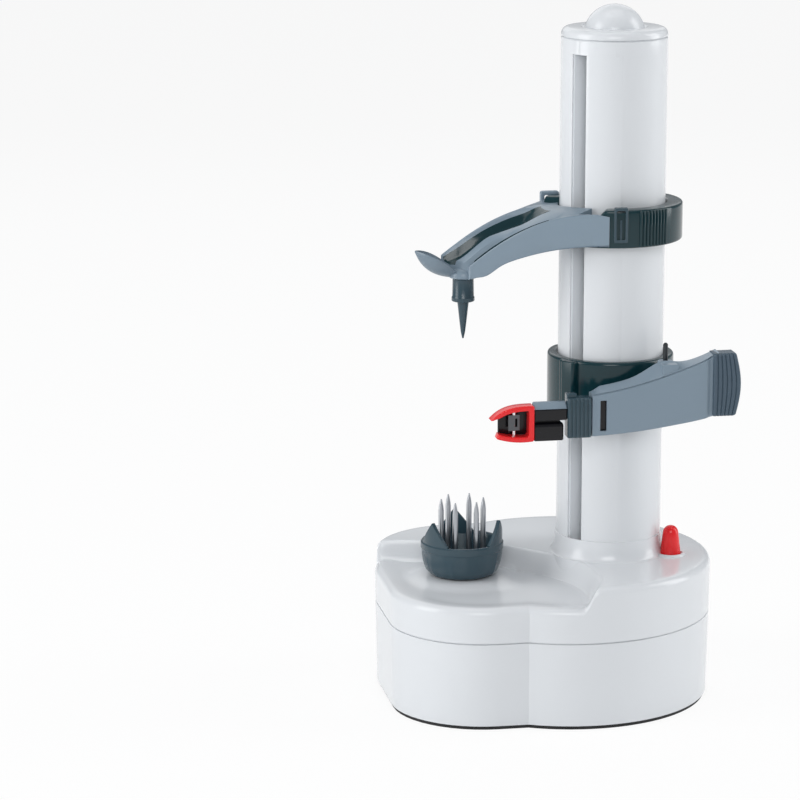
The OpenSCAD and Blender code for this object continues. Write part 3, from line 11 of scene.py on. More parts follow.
import bmesh
import bpy
import numpy as np
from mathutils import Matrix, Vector

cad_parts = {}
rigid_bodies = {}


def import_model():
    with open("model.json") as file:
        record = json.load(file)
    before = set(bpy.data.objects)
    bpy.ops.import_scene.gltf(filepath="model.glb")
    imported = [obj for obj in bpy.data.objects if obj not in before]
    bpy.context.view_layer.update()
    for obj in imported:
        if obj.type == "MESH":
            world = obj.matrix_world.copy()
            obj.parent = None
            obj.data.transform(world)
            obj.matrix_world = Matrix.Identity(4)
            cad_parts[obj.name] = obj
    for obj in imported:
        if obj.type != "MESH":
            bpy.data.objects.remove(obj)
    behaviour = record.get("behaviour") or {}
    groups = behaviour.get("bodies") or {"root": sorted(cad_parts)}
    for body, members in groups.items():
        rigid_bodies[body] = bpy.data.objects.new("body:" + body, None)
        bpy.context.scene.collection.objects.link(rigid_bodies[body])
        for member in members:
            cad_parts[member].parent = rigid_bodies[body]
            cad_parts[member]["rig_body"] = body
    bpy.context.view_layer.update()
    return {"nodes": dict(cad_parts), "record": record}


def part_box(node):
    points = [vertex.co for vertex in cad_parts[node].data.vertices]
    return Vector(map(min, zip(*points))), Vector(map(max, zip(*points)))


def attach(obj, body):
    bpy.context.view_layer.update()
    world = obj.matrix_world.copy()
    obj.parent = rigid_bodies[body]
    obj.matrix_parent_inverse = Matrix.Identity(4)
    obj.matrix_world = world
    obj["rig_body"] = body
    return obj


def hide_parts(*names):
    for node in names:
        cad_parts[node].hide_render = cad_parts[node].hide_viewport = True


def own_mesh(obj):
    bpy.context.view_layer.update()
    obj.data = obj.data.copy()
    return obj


bl_info = {
    "name": "Electric Peeler",
    "version": (1, 0, 0),
    "blender": (4, 5, 0),
    "location": "View3D > Sidebar > Peeler",
    "description": "Builds the visible pieces and finishes of an electric peeler round its frame",
    "category": "Object",
}

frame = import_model()

MM = 0.001
cap_low, cap_high = (np.array(corner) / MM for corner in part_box("column_cap"))
AXIS_X = (cap_low[0] + cap_high[0]) / 2
SHIFT = np.array([AXIS_X, 0, 0])


def span(node):
    """Lowest and highest corner of a CAD node in millimetres, with X counted from the column's axis."""
    low, high = (np.array(corner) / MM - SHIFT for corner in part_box(node))
    return low, high


def radius_of(node):
    """Half the width of a round CAD node."""
    low, high = span(node)
    return (high[0] - low[0]) / 2


# Column
COLUMN_R = (cap_high[0] - cap_low[0]) / 2
COLUMN_IN_R = COLUMN_R - 2.4
COLUMN_FOOT, COLUMN_TOP = (corner[2] for corner in span("column_front_shell"))
CAP_TOP = cap_high[2]
DOME_TOP = span("cap_dome")[1][2]
DOME_R = radius_of("cap_dome")
SLOT_W = 6.5
SLOT_DIR = -144.5
SLOT_LOW = 65.0
SLOT_HIGH = COLUMN_TOP - 6

# Base: a round lobe under the column and a rounded square under the food
SEAM = 36.4
SEAM_GROOVE = 0.9
PLATFORM = 60.0
DISH = 51.6
DRAFT = 0.02
DRAFT_STOP = 48.0
COLUMN_LOBE_R = 60.2
COLUMN_LOBE_X = 18.5
FOOD_LOBE_X = 51.0
FOOD_LOBE_HALF = 7.0
CORNER_R = 38.0
CORNER_Y = 15.8
SHELL_WALL = 2.4
# The slope between dish and platform: its centre, then for its foot and its top the greatest distance from
# the centre, how fast that shrinks to both ends, and where it is greatest
SLOPE_X, SLOPE_Y = -104.7, -52.3
SLOPE_FOOT = (90.2, 0.0045, -14)
SLOPE_TOP = (94.8, 0.0042, -18)

# Food axis
CUP_LOW, CUP_HIGH = span("food_cup")
FOOD_X = (CUP_LOW[0] + CUP_HIGH[0]) / 2
TOOTH_DIR = 90.0
TOOTH_MORE = 2.4
CUP_RIM_R = 17.4
CUP_DEPTH = 14.0
BEARING_R = radius_of("spindle_bearing")

# Carriage and peeling arm
CARRIAGE_LOW, CARRIAGE_HIGH = 121.0, 146.0
CLIP_IN_R = COLUMN_R + 0.3
CLIP_OUT_R = CLIP_IN_R + 4.1
OPEN_FROM, OPEN_TO = 28.0, 137.0
HINGE = np.array([16.4, -28.5])
ARM_FRONT, ARM_BACK = 39.5, 31.7
ARM_LEFT, ARM_RIGHT = 16.5, 35.4
ARM_LOW, ARM_TOP = 118.3, 135.9
ARM_END_LOW, ARM_END_TOP = 125.1, 151.1

# Blade head
HEAD_LEFT, HEAD_JOIN, HEAD_RIGHT = -40.9, -26.9, -16.9
CLIP_FRONT, CLIP_BACK, CLIP_LOW, CLIP_HIGH = -38.9, -32.5, 118.1, 134.7
STEM_FRONT, STEM_BACK, STEM_LOW, STEM_BAR = -38.5, -33.9, 117.3, 7.3
GUARD_LEFT, GUARD_RIGHT, GUARD_LOW, GUARD_TIP = -58.9, -40.95, 117.6, 126.8
GUARD_FRONT, GUARD_BACK = -39.5, -33.5

# Food holder
COLLAR_LOW, COLLAR_HIGH = 194.3, 210.0
COLLAR_IN_R = COLUMN_R + 0.3
COLLAR_OUT_R = COLLAR_IN_R + 6.9
LATCH_DIR = -96.5


# ---- Shapes on grids ----


def loft(rings, first="cap", last="cap"):
    """Joins closed rings, an array of rings x points x 3, by quads between neighbouring rings. An end is one
    flat face ("cap"), a fan to the ring's middle ("pole"), quads between a ring's first half and its second
    half read backwards ("zip"), or the last ring joins the first ("loop")."""
    rings = np.asarray(rings, float)
    count, size = rings.shape[:2]
    index = np.arange(count * size).reshape(count, size)
    looped = first == "loop"
    low = index if looped else index[:-1]
    high = np.roll(index, -1, 0) if looped else index[1:]
    quads = np.stack([low, np.roll(low, -1, 1), np.roll(high, -1, 1), high], -1)
    points = rings.reshape(-1, 3)
    faces = quads.reshape(-1, 4).tolist()
    for ring, row, kind in ((rings[0], index[0][::-1], first), (rings[-1], index[-1], last)):
        if kind == "cap":
            faces.append(row.tolist())
        elif kind == "zip":
            near, far = row[:size // 2], row[:size // 2 - 1:-1]
            faces += np.stack([near[:-1], near[1:], far[1:], far[:-1]], -1).tolist()
        elif kind == "pole":
            points = np.vstack([points, ring.mean(0)])
            apex = np.full(size, len(points) - 1)
            faces += np.stack([row, np.roll(row, -1), apex], -1).tolist()
    return outward(points, faces)


def outward(points, faces):
    """Turns every face round if the shape's signed volume is negative: the sum, over each face's edges, of
    the triple product of the face's first corner and the edge's two ends."""
    counts = np.array(list(map(len, faces)))
    flat = np.concatenate(faces)
    starts = np.repeat(np.cumsum(counts) - counts, counts)
    place = np.arange(len(flat)) - starts
    following = starts + (place + 1) % np.repeat(counts, counts)
    a, b, c = points[flat[starts]], points[flat], points[flat[following]]
    if np.einsum("ij,ij->", a, np.cross(b, c)) < 0:
        faces = [face[::-1] for face in faces]
    return points, faces


def turned(part, turn):
    """The part turned about the Z axis by an angle in degrees."""
    points, faces = part
    c, s = math.cos(math.radians(turn)), math.sin(math.radians(turn))
    x, y, z = points.T
    return np.stack([c * x - s * y, s * x + c * y, z], 1), faces


def upright(part):
    """A part drawn with its outline in X and Z and its thickness in Y."""
    points, faces = part
    return outward(points[:, [0, 2, 1]], faces)


def sideways(part):
    """A part drawn with its outline in Y and Z and its thickness in X."""
    points, faces = part
    return outward(points[:, [2, 0, 1]], faces)


def rounded(corners, radius, steps=5):
    """The polygon with each corner cut back by its radius on both edges and joined by a parabola."""
    corners = np.asarray(corners, float)
    to_last = np.roll(corners, 1, 0) - corners
    to_next = np.roll(corners, -1, 0) - corners
    last_len = np.linalg.norm(to_last, axis=1, keepdims=True)
    next_len = np.linalg.norm(to_next, axis=1, keepdims=True)
    cut = np.broadcast_to(np.maximum(radius, 0.02), len(corners))[:, None]
    cut = np.minimum(cut, 0.48 * np.minimum(last_len, next_len))
    start = (corners + to_last / last_len * cut)[:, None]
    end = (corners + to_next / next_len * cut)[:, None]
    t = np.linspace(0, 1, steps + 1)[None, :, None]
    return ((1 - t) ** 2 * start + 2 * t * (1 - t) * corners[:, None] + t**2 * end).reshape(-1, 2)


def arc(radius, angles, centre=(0, 0)):
    """Points on circles: the centre, plus the radius times the cosine and the sine of each angle."""
    return np.stack([centre[0] + radius * np.cos(angles), centre[1] + radius * np.sin(angles)], -1)


def full_turn(sides):
    """Equal angles all round."""
    return np.linspace(0, 2 * np.pi, sides, endpoint=False)


def level(outline, z):
    """A flat outline as a ring at one height."""
    return np.column_stack([outline, np.full(len(outline), z)])


def across_x(section, x):
    """A section drawn in Y and Z as a ring at one X."""
    return np.column_stack([np.full(len(section), x), section])


def box_outline(x0, x1, y0, y1, radius):
    """A rectangle between two corners, its own corners rounded."""
    return rounded([[x0, y0], [x1, y0], [x1, y1], [x0, y1]], radius)


def inset(outline, distance):
    """The closed outline moved inwards: each point goes along the sum of its two edges' normals, made longer
    at a corner so that both edges move by the distance."""
    edge = np.roll(outline, -1, 0) - outline
    normal = np.stack([-edge[:, 1], edge[:, 0]], 1) / np.linalg.norm(edge, axis=1, keepdims=True)
    before = np.roll(normal, 1, 0)
    mitre = (normal + before) / np.maximum(1 + (normal * before).sum(1, keepdims=True), 0.3)
    x, y = outline.T
    turning = np.sign((x * np.roll(y, -1) - np.roll(x, -1) * y).sum())
    return outline + turning * distance * mitre


def rim_steps(low, high, rim, steps):
    """Heights and insets of a rounded rim at both ends: a quarter circle from the flat face to the side."""
    a = np.linspace(0, np.pi / 2, steps + 1)
    lift, back = rim * (1 - np.cos(a)), rim * (1 - np.sin(a))
    return np.concatenate([low + lift, high - lift[::-1]]), np.concatenate([back, back[::-1]])


def slab(outline, low, high, rim, steps=4):
    """A plate from low to high whose rims are rounded: the outline shrinks as the height nears each face."""
    outline = np.asarray(outline, float)
    return loft([level(inset(outline, back), z) for z, back in zip(*rim_steps(low, high, rim, steps))])


def frame_slab(outer, inner, low, high, rim):
    """A plate with a hole: up the outer outline, over the rounded rims, and down the inner one, point for
    point."""
    stops = list(zip(*rim_steps(low, high, rim, 3)))
    up = [level(inset(outer, back), z) for z, back in stops]
    down = [level(inset(inner, -back), z) for z, back in stops]
    return loft(up + down[::-1], "loop", "loop")


def rod(radius, centre, low, high, rim):
    """An upright round rod with rounded rims, which ends a rim's width short of low and high."""
    return slab(arc(radius, full_turn(16), centre), low + rim, high - rim, rim, 2)


def revolved(profile, sides=96, first="pole", last="pole", centre=(0, 0)):
    """The profile of radius and height turned about a vertical axis."""
    profile = np.asarray(profile, float)
    a = full_turn(sides)
    return loft(np.dstack([arc(profile[:, :1], a, centre), profile[:, 1:] + 0 * a]), first, last)


def turned_ring(section, centre=(0, 0), sides=96):
    """A closed section of radius and height turned about a vertical axis into a ring."""
    return revolved(section, sides, "loop", "loop", centre)


def open_ring(inner, outer, low, high, rim):
    """A ring round the column, open towards the rear: a rounded rectangle of radius and height, swept round.
    Near both ends it narrows about its middle radius as a half circle does, so they are round in plan."""
    section = box_outline(inner, outer, low, high, rim)
    a = np.radians(np.linspace(OPEN_TO, OPEN_FROM + 360, 120))
    ends = np.radians(4.6) * (1 - np.cos(np.linspace(0, np.pi / 2, 8)))
    a = np.unique(np.concatenate([a[0] + ends, a, a[-1] - ends]))
    middle = (section[:, 0].min() + section[:, 0].max()) / 2
    half = (section[:, 0].max() - section[:, 0].min()) / 2
    run = np.minimum(a - a[0], a[-1] - a) * middle
    share = np.sqrt(np.clip(1 - (1 - np.clip(run / half, 0, 1)) ** 2, 0.02, 1))
    r = middle + (section[:, 0] - middle) * share[:, None]
    return loft(np.dstack([arc(r, a[:, None]), section[:, 1] + 0 * r]))


def bowed(x, x0, z0, x1, z1, rise):
    """A line from one point to another, lifted by rise in its middle as a parabola."""
    t = (x - x0) / (x1 - x0)
    return z0 + (z1 - z0) * t + 4 * rise * t * (1 - t)


def smooth(t):
    """Rises from 0 to 1 with no slope at either end: 3t^2 - 2t^3."""
    t = np.clip(t, 0, 1)
    return t * t * (3 - 2 * t)


# ---- Pieces ----


def accent(part, mask=None):
    """Marks a part's faces, or its first faces by a mask, for the piece's second finish."""
    points, faces = part
    marks = np.ones(len(faces), int)
    if mask is not None:
        marks[:len(mask)] = mask
        marks[len(mask):] = 0
    return points, faces, marks


def new_object(name, data):
    """A new object in the scene."""
    made = bpy.data.objects.new(name, data)
    bpy.context.scene.collection.objects.link(made)
    return made


def new_mesh(name, points, faces):
    """A new mesh from its points and faces."""
    mesh = bpy.data.meshes.new(name)
    mesh.from_pydata(points, [], faces)
    return mesh


def shade(mesh, sharp):
    """Smooth shading, broken at edges that turn by more than an angle in degrees."""
    mesh.shade_smooth()
    mesh.set_sharp_from_angle(angle=math.radians(sharp))


def read(items, field, kind=float, width=1):
    """One field of all of a mesh's vertices, faces or corners."""
    values = np.empty(len(items) * width, kind)
    items.foreach_get(field, values)
    return values.reshape(-1, width) if width > 1 else values


def piece(name, parts, body, stands_for, finish, second=None, sharp=26):
    """Puts the parts in one mesh, in metres and in the frame, and lets it ride on its body."""
    points, faces, marks, offset = [], [], [], 0
    for part in parts:
        points.append(part[0])
        faces += [[i + offset for i in face] for face in part[1]]
        marks.append(part[2] if len(part) > 2 else np.zeros(len(part[1]), int))
        offset += len(part[0])
    mesh = new_mesh(name, ((np.vstack(points) + SHIFT) * MM).tolist(), faces)
    mesh.polygons.foreach_set("material_index", np.concatenate(marks))
    mesh.materials.append(material(finish))
    if second:
        mesh.materials.append(material(second))
    mesh.validate()
    shade(mesh, sharp)
    made = new_object(name, mesh)
    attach(made, body)
    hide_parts(*stands_for)
    return made


def eased_copy(node, finish, bevel=0.0, sharp=30):
    """A copy of a CAD node with its loose triangles merged. With a bevel, its flats are joined and its edges
    are eased."""
    source = frame["nodes"][node]
    mesh = source.data.copy()
    mesh.name = node + "_eased"
    work = bmesh.new()
    work.from_mesh(mesh)
    bmesh.ops.remove_doubles(work, verts=work.verts, dist=1e-6)
    if bevel:
        bmesh.ops.dissolve_limit(work, angle_limit=math.radians(1), verts=work.verts, edges=work.edges)
    work.to_mesh(mesh)
    work.free()
    copy = new_object(node + "_eased", mesh)
    shade(mesh, sharp)
    mesh.materials.clear()
    mesh.materials.append(material(finish))
    if bevel:
        ease = copy.modifiers.new("eased edges", "BEVEL")
        ease.width = bevel * MM
        ease.segments = 2
        ease.limit_method = "ANGLE"
        ease.angle_limit = math.radians(35)
        ease.harden_normals = True
    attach(copy, source["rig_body"])
    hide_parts(node)
    return copy


def shade_as_outline(copy):
    """Gives the corners of the wall's faces the normal of the outline itself, the slope of its signed
    distance, taken a little towards the face's middle so that the two sides of a crease stay apart."""
    pull, step, skin, parallel = 0.06, 0.02, 0.5, 0.97
    mesh = copy.data
    vertex = read(mesh.loops, "vertex_index", int)
    normals = read(mesh.corner_normals, "vector", float, 3)
    owner = np.searchsorted(read(mesh.polygons, "loop_start", int), np.arange(len(vertex)), "right") - 1
    corners = read(mesh.vertices, "co", float, 3)[vertex] / MM - SHIFT
    middle = read(mesh.polygons, "center", float, 3)[owner] / MM - SHIFT
    facing = read(mesh.polygons, "normal", float, 3)[owner]
    x, y, z = (corners + pull * (middle - corners)).T
    slope = np.stack([
        lobes_distance(x + step, y, DRAFT * z) - lobes_distance(x - step, y, DRAFT * z),
        lobes_distance(x, y + step, DRAFT * z) - lobes_distance(x, y - step, DRAFT * z),
        np.full(len(x), -2 * step * DRAFT),
    ], 1)
    slope /= np.linalg.norm(slope, axis=1, keepdims=True)
    on_wall = lobes_distance(middle[:, 0], middle[:, 1], DRAFT * middle[:, 2]) > -skin
    on_wall &= (facing * slope).sum(1) > parallel
    mesh.normals_split_custom_set(np.where(on_wall[:, None], slope, normals).tolist())


def slot_of(node):
    """The material slot that the record gives a node."""
    return next(s["material_slot"] for s in frame["record"]["subparts"] if s["node"] == node)


# ---- Base ----


def lobes_distance(x, y, grow):
    """Signed distance to the base's outline: the smaller of those to a circle and to a rounded rectangle."""
    column_lobe = np.hypot(x + COLUMN_LOBE_X, y) - (COLUMN_LOBE_R + grow)
    over_x = np.abs(x + FOOD_LOBE_X) - FOOD_LOBE_HALF
    over_y = np.abs(y) - CORNER_Y
    outside = np.hypot(np.maximum(over_x, 0), np.maximum(over_y, 0))
    food_lobe = outside + np.minimum(np.maximum(over_x, over_y), 0) - (CORNER_R + grow)
    return np.minimum(column_lobe, food_lobe)


def reach(angles, outside):
    """How far a ray from the food axis goes in each direction before outside(x, y) turns positive, found by
    halving."""
    furthest, halvings = 150.0, 36
    low, high = np.zeros_like(angles), np.full_like(angles, furthest)
    for _ in range(halvings):
        middle = (low + high) / 2
        out = outside(FOOD_X + middle * np.cos(angles), middle * np.sin(angles)) > 0
        low, high = np.where(out, low, middle), np.where(out, middle, high)
    return low


def slope_edge(y, edge):
    """Distance of the slope's foot or top from its centre: a parabola that comes in at both ends."""
    most, shrink, middle = edge
    return most - shrink * (y - middle) ** 2


def slope_place(x, y):
    """Place on the slope between dish and platform: -1 at its foot, 1 at its top."""
    away = np.hypot(x - SLOPE_X, y - SLOPE_Y)
    foot, top = slope_edge(y, SLOPE_FOOT), slope_edge(y, SLOPE_TOP)
    return 2 * (away - foot) / (top - foot) - 1


def top_height(x, y):
    """Height of the top: the dish, with a low round boss under the cup and a soft hollow round it, a slope,
    and the platform."""
    boss_high, hollow_deep, boss_r, fade = 0.8, 0.9, 16, 9
    away = np.hypot(x - FOOD_X, y)
    from_edge = -lobes_distance(x, y, 0)
    boss = boss_high * (1 - smooth((away - boss_r) / fade))
    hollow = hollow_deep * smooth((away - boss_r - 1) / fade) * smooth((from_edge - 3) / fade)
    dish = DISH + boss - hollow
    return dish + (PLATFORM - dish) * smooth((slope_place(x, y) + 1) / 2)


def upper_shell_skin():
    """A closed skin on rays from the food axis: over the dish, its slope and the platform, round the edge,
    down the side to the seam, and back along the inside."""
    edge, seam_bevel, beside_crease, steps = sizes().edge_round / MM, sizes().seam_gap / MM, 0.0022, 14
    angles = np.linspace(-np.pi, np.pi, 720, endpoint=False)
    rim = reach(angles, lambda x, y: lobes_distance(x, y, DRAFT * 55))
    crease = angles[np.abs(np.roll(rim, 1) + np.roll(rim, -1) - 2 * rim).argsort()[-2:]]
    angles = np.sort(np.concatenate([angles, crease + beside_crease, crease - beside_crease]))

    def ring(radius, height=None):
        x, y = FOOD_X + radius * np.cos(angles), radius * np.sin(angles)
        return np.stack([x, y, top_height(x, y) if height is None else height + 0 * x], -1)

    def lowered(radius, drop):
        around = ring(radius)
        around[:, 2] -= drop
        return around

    def rim_at(grow, back):
        return reach(angles, lambda x, y: lobes_distance(x, y, grow - back))

    side_high = np.minimum(ring(rim_at(DRAFT * 50, 0.5))[:, 2] - edge - 0.3, DRAFT_STOP)
    flat_end = rim_at(DRAFT * side_high, edge)
    hole = BEARING_R + 0.2 + 0 * angles
    foot = np.minimum(reach(angles, lambda x, y: slope_place(x, y) + 1), flat_end - 0.8)
    top = np.minimum(reach(angles, lambda x, y: slope_place(x, y) - 1), flat_end - 0.4)
    outer = [
        ring(a + (b - a) * t)
        for a, b in ((hole, foot), (foot, top), (top, flat_end))
        for t in np.linspace(0, 1, steps, endpoint=False)
    ]
    for turn in np.linspace(0, np.pi / 2, 8):
        radius = rim_at(DRAFT * side_high, edge * (1 - math.sin(turn)))
        outer.append(lowered(radius, edge * (1 - math.cos(turn))))
    side_top = outer[-1][:, 2]
    for t in np.linspace(0.15, 1, 6):
        z = side_top + (SEAM + seam_bevel - side_top) * t
        outer.append(ring(rim_at(DRAFT * np.minimum(z, DRAFT_STOP), 0), z))
    groove = rim_at(DRAFT * SEAM, SEAM_GROOVE)
    inner_rim = rim_at(DRAFT * SEAM, SHELL_WALL)
    outer += [ring(groove, SEAM + seam_bevel), ring(groove, SEAM), ring(inner_rim, SEAM)]
    inner = [lowered(hole + (inner_rim - hole) * t, SHELL_WALL) for t in np.linspace(0.999, 0, 24)]
    return loft(outer + inner, "loop", "loop")


def column_foot_ring():
    """The flare at the column's foot: a quarter of an ellipse, hollow outwards, from the column down to the
    platform, and a straight foot from there into the shell."""
    inner, lip, spread, top, foot = COLUMN_R + 0.05, 0.35, 2.4, PLATFORM + 8.5, DISH - 1
    a = np.linspace(0, np.pi / 2, 15)
    flare = np.stack([inner + lip + spread * (1 - np.sin(a)), top - (top - PLATFORM) * np.cos(a)], 1)
    section = np.vstack([[[inner, foot], [inner + lip + spread, foot]], flare, [[inner, top + 0.1]]])
    return turned_ring(section)


class PEELER_OT_base(bpy.types.Operator):
    """Builds the two shells of the base with the foot ring"""

    bl_idname = "peeler.base"
    bl_label = "Base"

    def execute(self, context):
        piece(
            "base_upper_cover", [upper_shell_skin(), column_foot_ring()], "base",
            ["base_upper_shell"], "white", sharp=22,
        )
        shade_as_outline(eased_copy("base_lower_shell", "white", sharp=22))
        eased_copy("foot_ring", "rubber", sharp=22)
        return {"FINISHED"}


# ---- Column ----


def column_half(side):
    """Half of the column's tube, swept upwards. Its arc ends at the seam, or beside the slot at a rail that
    runs inwards, set back from the surface by a narrow step."""
    middle, far = math.radians(SLOT_DIR), math.radians(SLOT_DIR + 180 - 0.13)
    shut, wide, top_ease, seam_ease = 0.05, SLOT_W / 2, 0.4, 0.15
    step_w, step_in, rail_in, rail_w, count = 0.55, 1.0, 13.5, 1.2, 96

    def beside(r, off):
        """Points at given radii, off to one side of the slot's middle plane."""
        r, off = np.array(r, float), np.array(off, float)
        along = np.sqrt(r**2 - off**2)
        c, s = math.cos(middle), math.sin(middle)
        return np.stack([along * c - off * s, along * s + off * c], 1)

    def outline(gap, ease):
        deep, step = (rail_in, step_w) if gap > shut else (COLUMN_IN_R, 0)
        a = np.linspace(middle + math.asin((gap + step) / COLUMN_R), far, count)
        back = np.zeros(count)
        back[[0, -1]] = seam_ease
        outer = arc(COLUMN_R - ease - back, a)
        depths = [COLUMN_IN_R, deep, deep, COLUMN_R - step_in, COLUMN_R - step_in]
        offs = [gap + rail_w, gap + rail_w, gap, gap, gap + step]
        return np.vstack([outer, arc(COLUMN_IN_R, a[::-1]), beside(depths, offs)])

    levels = [
        (COLUMN_FOOT, shut, 0), (SLOT_LOW - 0.01, shut, 0), (SLOT_LOW, wide, 0), (SLOT_HIGH, wide, 0),
        (SLOT_HIGH + 0.01, shut, 0), (COLUMN_TOP - top_ease, shut, 0), (COLUMN_TOP, shut, top_ease),
    ]
    rings = [level(outline(gap, ease), z) for z, gap, ease in levels]
    points, faces = loft(rings)
    if side < 0:
        x, y, z = points.T
        c, s = math.cos(2 * middle), math.sin(2 * middle)
        points = np.stack([c * x + s * y, s * x - c * y, z], 1)
    # The rails' faces beside the slot take the second finish, the shell's white made lighter: painted light
    # in the slot
    rail = np.zeros((len(levels) - 1, len(rings[0])), int)
    rail[2, -5:-1] = 1
    return accent(outward(points, faces), rail.ravel())


def cap_body():
    """The cap: a groove above the tube, a rounded shoulder, a flat top and a narrow groove round the dome."""
    r, low, top, edge = COLUMN_R, COLUMN_TOP, CAP_TOP, 3.0
    foot = [
        [r - 2.6, low - 6], [r - 2.6, low - 0.02], [r - 0.8, low], [r - 0.8, low + 0.3], [r, low + 0.45],
    ]
    shoulder = arc(edge, np.linspace(0, np.pi / 2, 9), (r - edge, top - edge))
    groove = [[DOME_R + 1.5, top], [DOME_R + 0.9, top - 0.5], [DOME_R + 0.2, top - 0.8]]
    return revolved(np.vstack([foot, shoulder, groove]), 128, "cap", "pole")


def dome_body():
    """A ball's cap on the column's cap. The ball's radius follows from the cap's width and height."""
    height = DOME_TOP - CAP_TOP
    ball = (DOME_R**2 + height**2) / (2 * height)
    a = np.linspace(math.asin(min(1, DOME_R / ball)), 0.04, 18)
    dome = np.stack([ball * np.sin(a), DOME_TOP - ball + ball * np.cos(a)], 1)
    return revolved(np.vstack([[[DOME_R, CAP_TOP - 0.8]], dome]), 96, "cap", "pole")


class PEELER_OT_column(bpy.types.Operator):
    """Builds the column's two halves, its cap and the dome"""

    bl_idname = "peeler.column"
    bl_label = "Column"

    def execute(self, context):
        for name, side in (("column_front", 1), ("column_rear", -1)):
            # The second finish paints the slot's rails lighter than the shell: painted light
            piece(name, [column_half(side)], "base", [name + "_shell"], "white", "rail")
        piece("column_cap_top", [cap_body()], "base", ["column_cap"], "white")
        piece("column_dome", [dome_body()], "base", ["cap_dome"], "white")
        return {"FINISHED"}


# ---- Food cup ----


def cup_bowl():
    """The bowl: its wall swells from the foot as a quarter sine up to a rim band that stands a little proud,
    with broad soft facets that fade towards the band. Inside it goes straight down to a flat floor."""
    facets, facet_turn, facet_share, facet_least = 10, 0.12, 0.55, 0.965
    low, high, rim_r, foot_r, wall, band = CUP_LOW[2], CUP_LOW[2] + CUP_DEPTH, CUP_RIM_R, 14.2, 2.0, 3.4
    edge = high - band
    t = np.linspace(0, 1, 14)
    swell = foot_r + 0.9 + (rim_r - foot_r - 1.2) * np.sin(np.pi / 2 * t**0.8)
    outer = np.stack([swell, low + 1.3 + (high - band - low - 1.3) * t], 1)
    lip = [
        [rim_r - 0.3, edge + 0.1], [rim_r, edge + 0.5], [rim_r, high - 0.5], [rim_r - 0.5, high],
        [rim_r - wall + 0.5, high], [rim_r - wall, high - 0.5],
    ]
    inner = [[foot_r - wall + 1, low + 4.2], [foot_r - wall - 0.4, low + 3.1], [foot_r - wall - 2, low + 3]]
    profile = np.vstack([[[foot_r - 1.0, low], [foot_r - 0.2, low + 0.2]], outer, lip, inner])
    plain = np.zeros(len(lip) + len(inner))
    share = np.concatenate([[1, 1], np.cos(np.pi / 2 * t) ** 0.5 * 0.9 + 0.1, plain])
    a = full_turn(240)
    step = 2 * np.pi / facets
    flat = np.cos(np.pi / facets) / np.cos((a + facet_turn) % step - step / 2)
    r = profile[:, :1] * (1 - share[:, None] * (1 - np.maximum(flat, facet_least)) * facet_share)
    return loft(np.dstack([arc(r, a, (FOOD_X, 0)), profile[:, 1:] + 0 * a]), "pole", "pole")


def cup_tooth(turn):
    """A pointed tooth on the rim: an arc of the wall whose height falls from the middle to both sides."""
    out_r, in_r, half_width, ease, lift = 16.9, 15.2, 8.0, 0.3, 0.12
    a = np.linspace(-1, 1, 25)
    base = CUP_LOW[2] + CUP_DEPTH - 1.5
    rise = CUP_HIGH[2] - (CUP_LOW[2] + CUP_DEPTH) + TOOTH_MORE
    peak = base + 1.5 + rise * (1 - np.abs(a)) + 0.25
    around = math.radians(turn) + math.asin(half_width / CUP_RIM_R) * a
    section = [
        (out_r, base), (out_r, peak), (out_r - ease, peak + lift),
        (in_r + ease, peak + lift), (in_r, peak), (in_r, base),
    ]
    rings = [np.column_stack([arc(r, around, (FOOD_X, 0)), z + 0 * around]) for r, z in section]
    return loft(np.transpose(rings, (1, 0, 2)))


def prong(turn):
    """A round pin with a long point."""
    ring_r, r, low = 9.0, 1.15, CUP_LOW[2] + 2.9
    high = low + 29.1
    profile = [[r, low], [r, high - 5], [r * 0.8, high - 3], [0.3, high - 0.1], [0.1, high]]
    return revolved(profile, 20, "cap", "pole", arc(ring_r, math.radians(turn), (FOOD_X, 0)))


class PEELER_OT_food_cup(bpy.types.Operator):
    """Builds the turning cup with its teeth and prongs"""

    bl_idname = "peeler.food_cup"
    bl_label = "Food cup"

    def execute(self, context):
        teeth = [cup_tooth(TOOTH_DIR + 120 * i) for i in range(3)]
        piece("cup_bowl", [cup_bowl(), *teeth], "spindle", ["food_cup"], "slate_mid")
        piece("cup_pins", [prong(60 * i) for i in range(6)], "spindle", ["cup_prongs"], "steel")
        return {"FINISHED"}


# ---- Carriage ----


def carriage_rib():
    """The stepped rib over the slot, which holds the follower's tongue."""
    inset_by, half, near, far = 0.25, 4.75, 22.9, 29.0
    outline = rounded(
        [[near, -half], [27.2, -half], [27.6, -2.4], [far, -1.7], [far, half], [near, half]],
        [0.2, 1.2, 0.6, 0.7, 1.4, 0.2],
    )
    return turned(slab(outline, CARRIAGE_LOW + inset_by, CARRIAGE_HIGH - inset_by, 0.7), SLOT_DIR)


def hinge_lug():
    """A tongue from the ring to the hinge, with a round end."""
    low, high, r, half = CARRIAGE_LOW + 8, CARRIAGE_LOW + 14, 3.1, 2.2
    near, far = CLIP_IN_R + 1, float(np.hypot(*HINGE))
    neck = far - 2.4
    end = arc(r, np.linspace(-np.pi / 2, np.pi / 2, 17), (far, 0))
    outline = np.vstack([[[near, -half], [neck, -half]], end, [[neck, half], [near, half]]])
    return turned(slab(outline, low, high, 0.3), math.degrees(math.atan2(HINGE[1], HINGE[0])))


class PEELER_OT_carriage(bpy.types.Operator):
    """Builds the sliding clip that carries the peeling arm"""

    bl_idname = "peeler.carriage"
    bl_label = "Carriage"

    def execute(self, context):
        ring = open_ring(CLIP_IN_R, CLIP_OUT_R, CARRIAGE_LOW, CARRIAGE_HIGH, 1.3)
        parts = [ring, carriage_rib(), hinge_lug()]
        piece("carriage_body", parts, "carriage", ["carriage_clip"], "teal")
        return {"FINISHED"}


# ---- Peeling arm ----


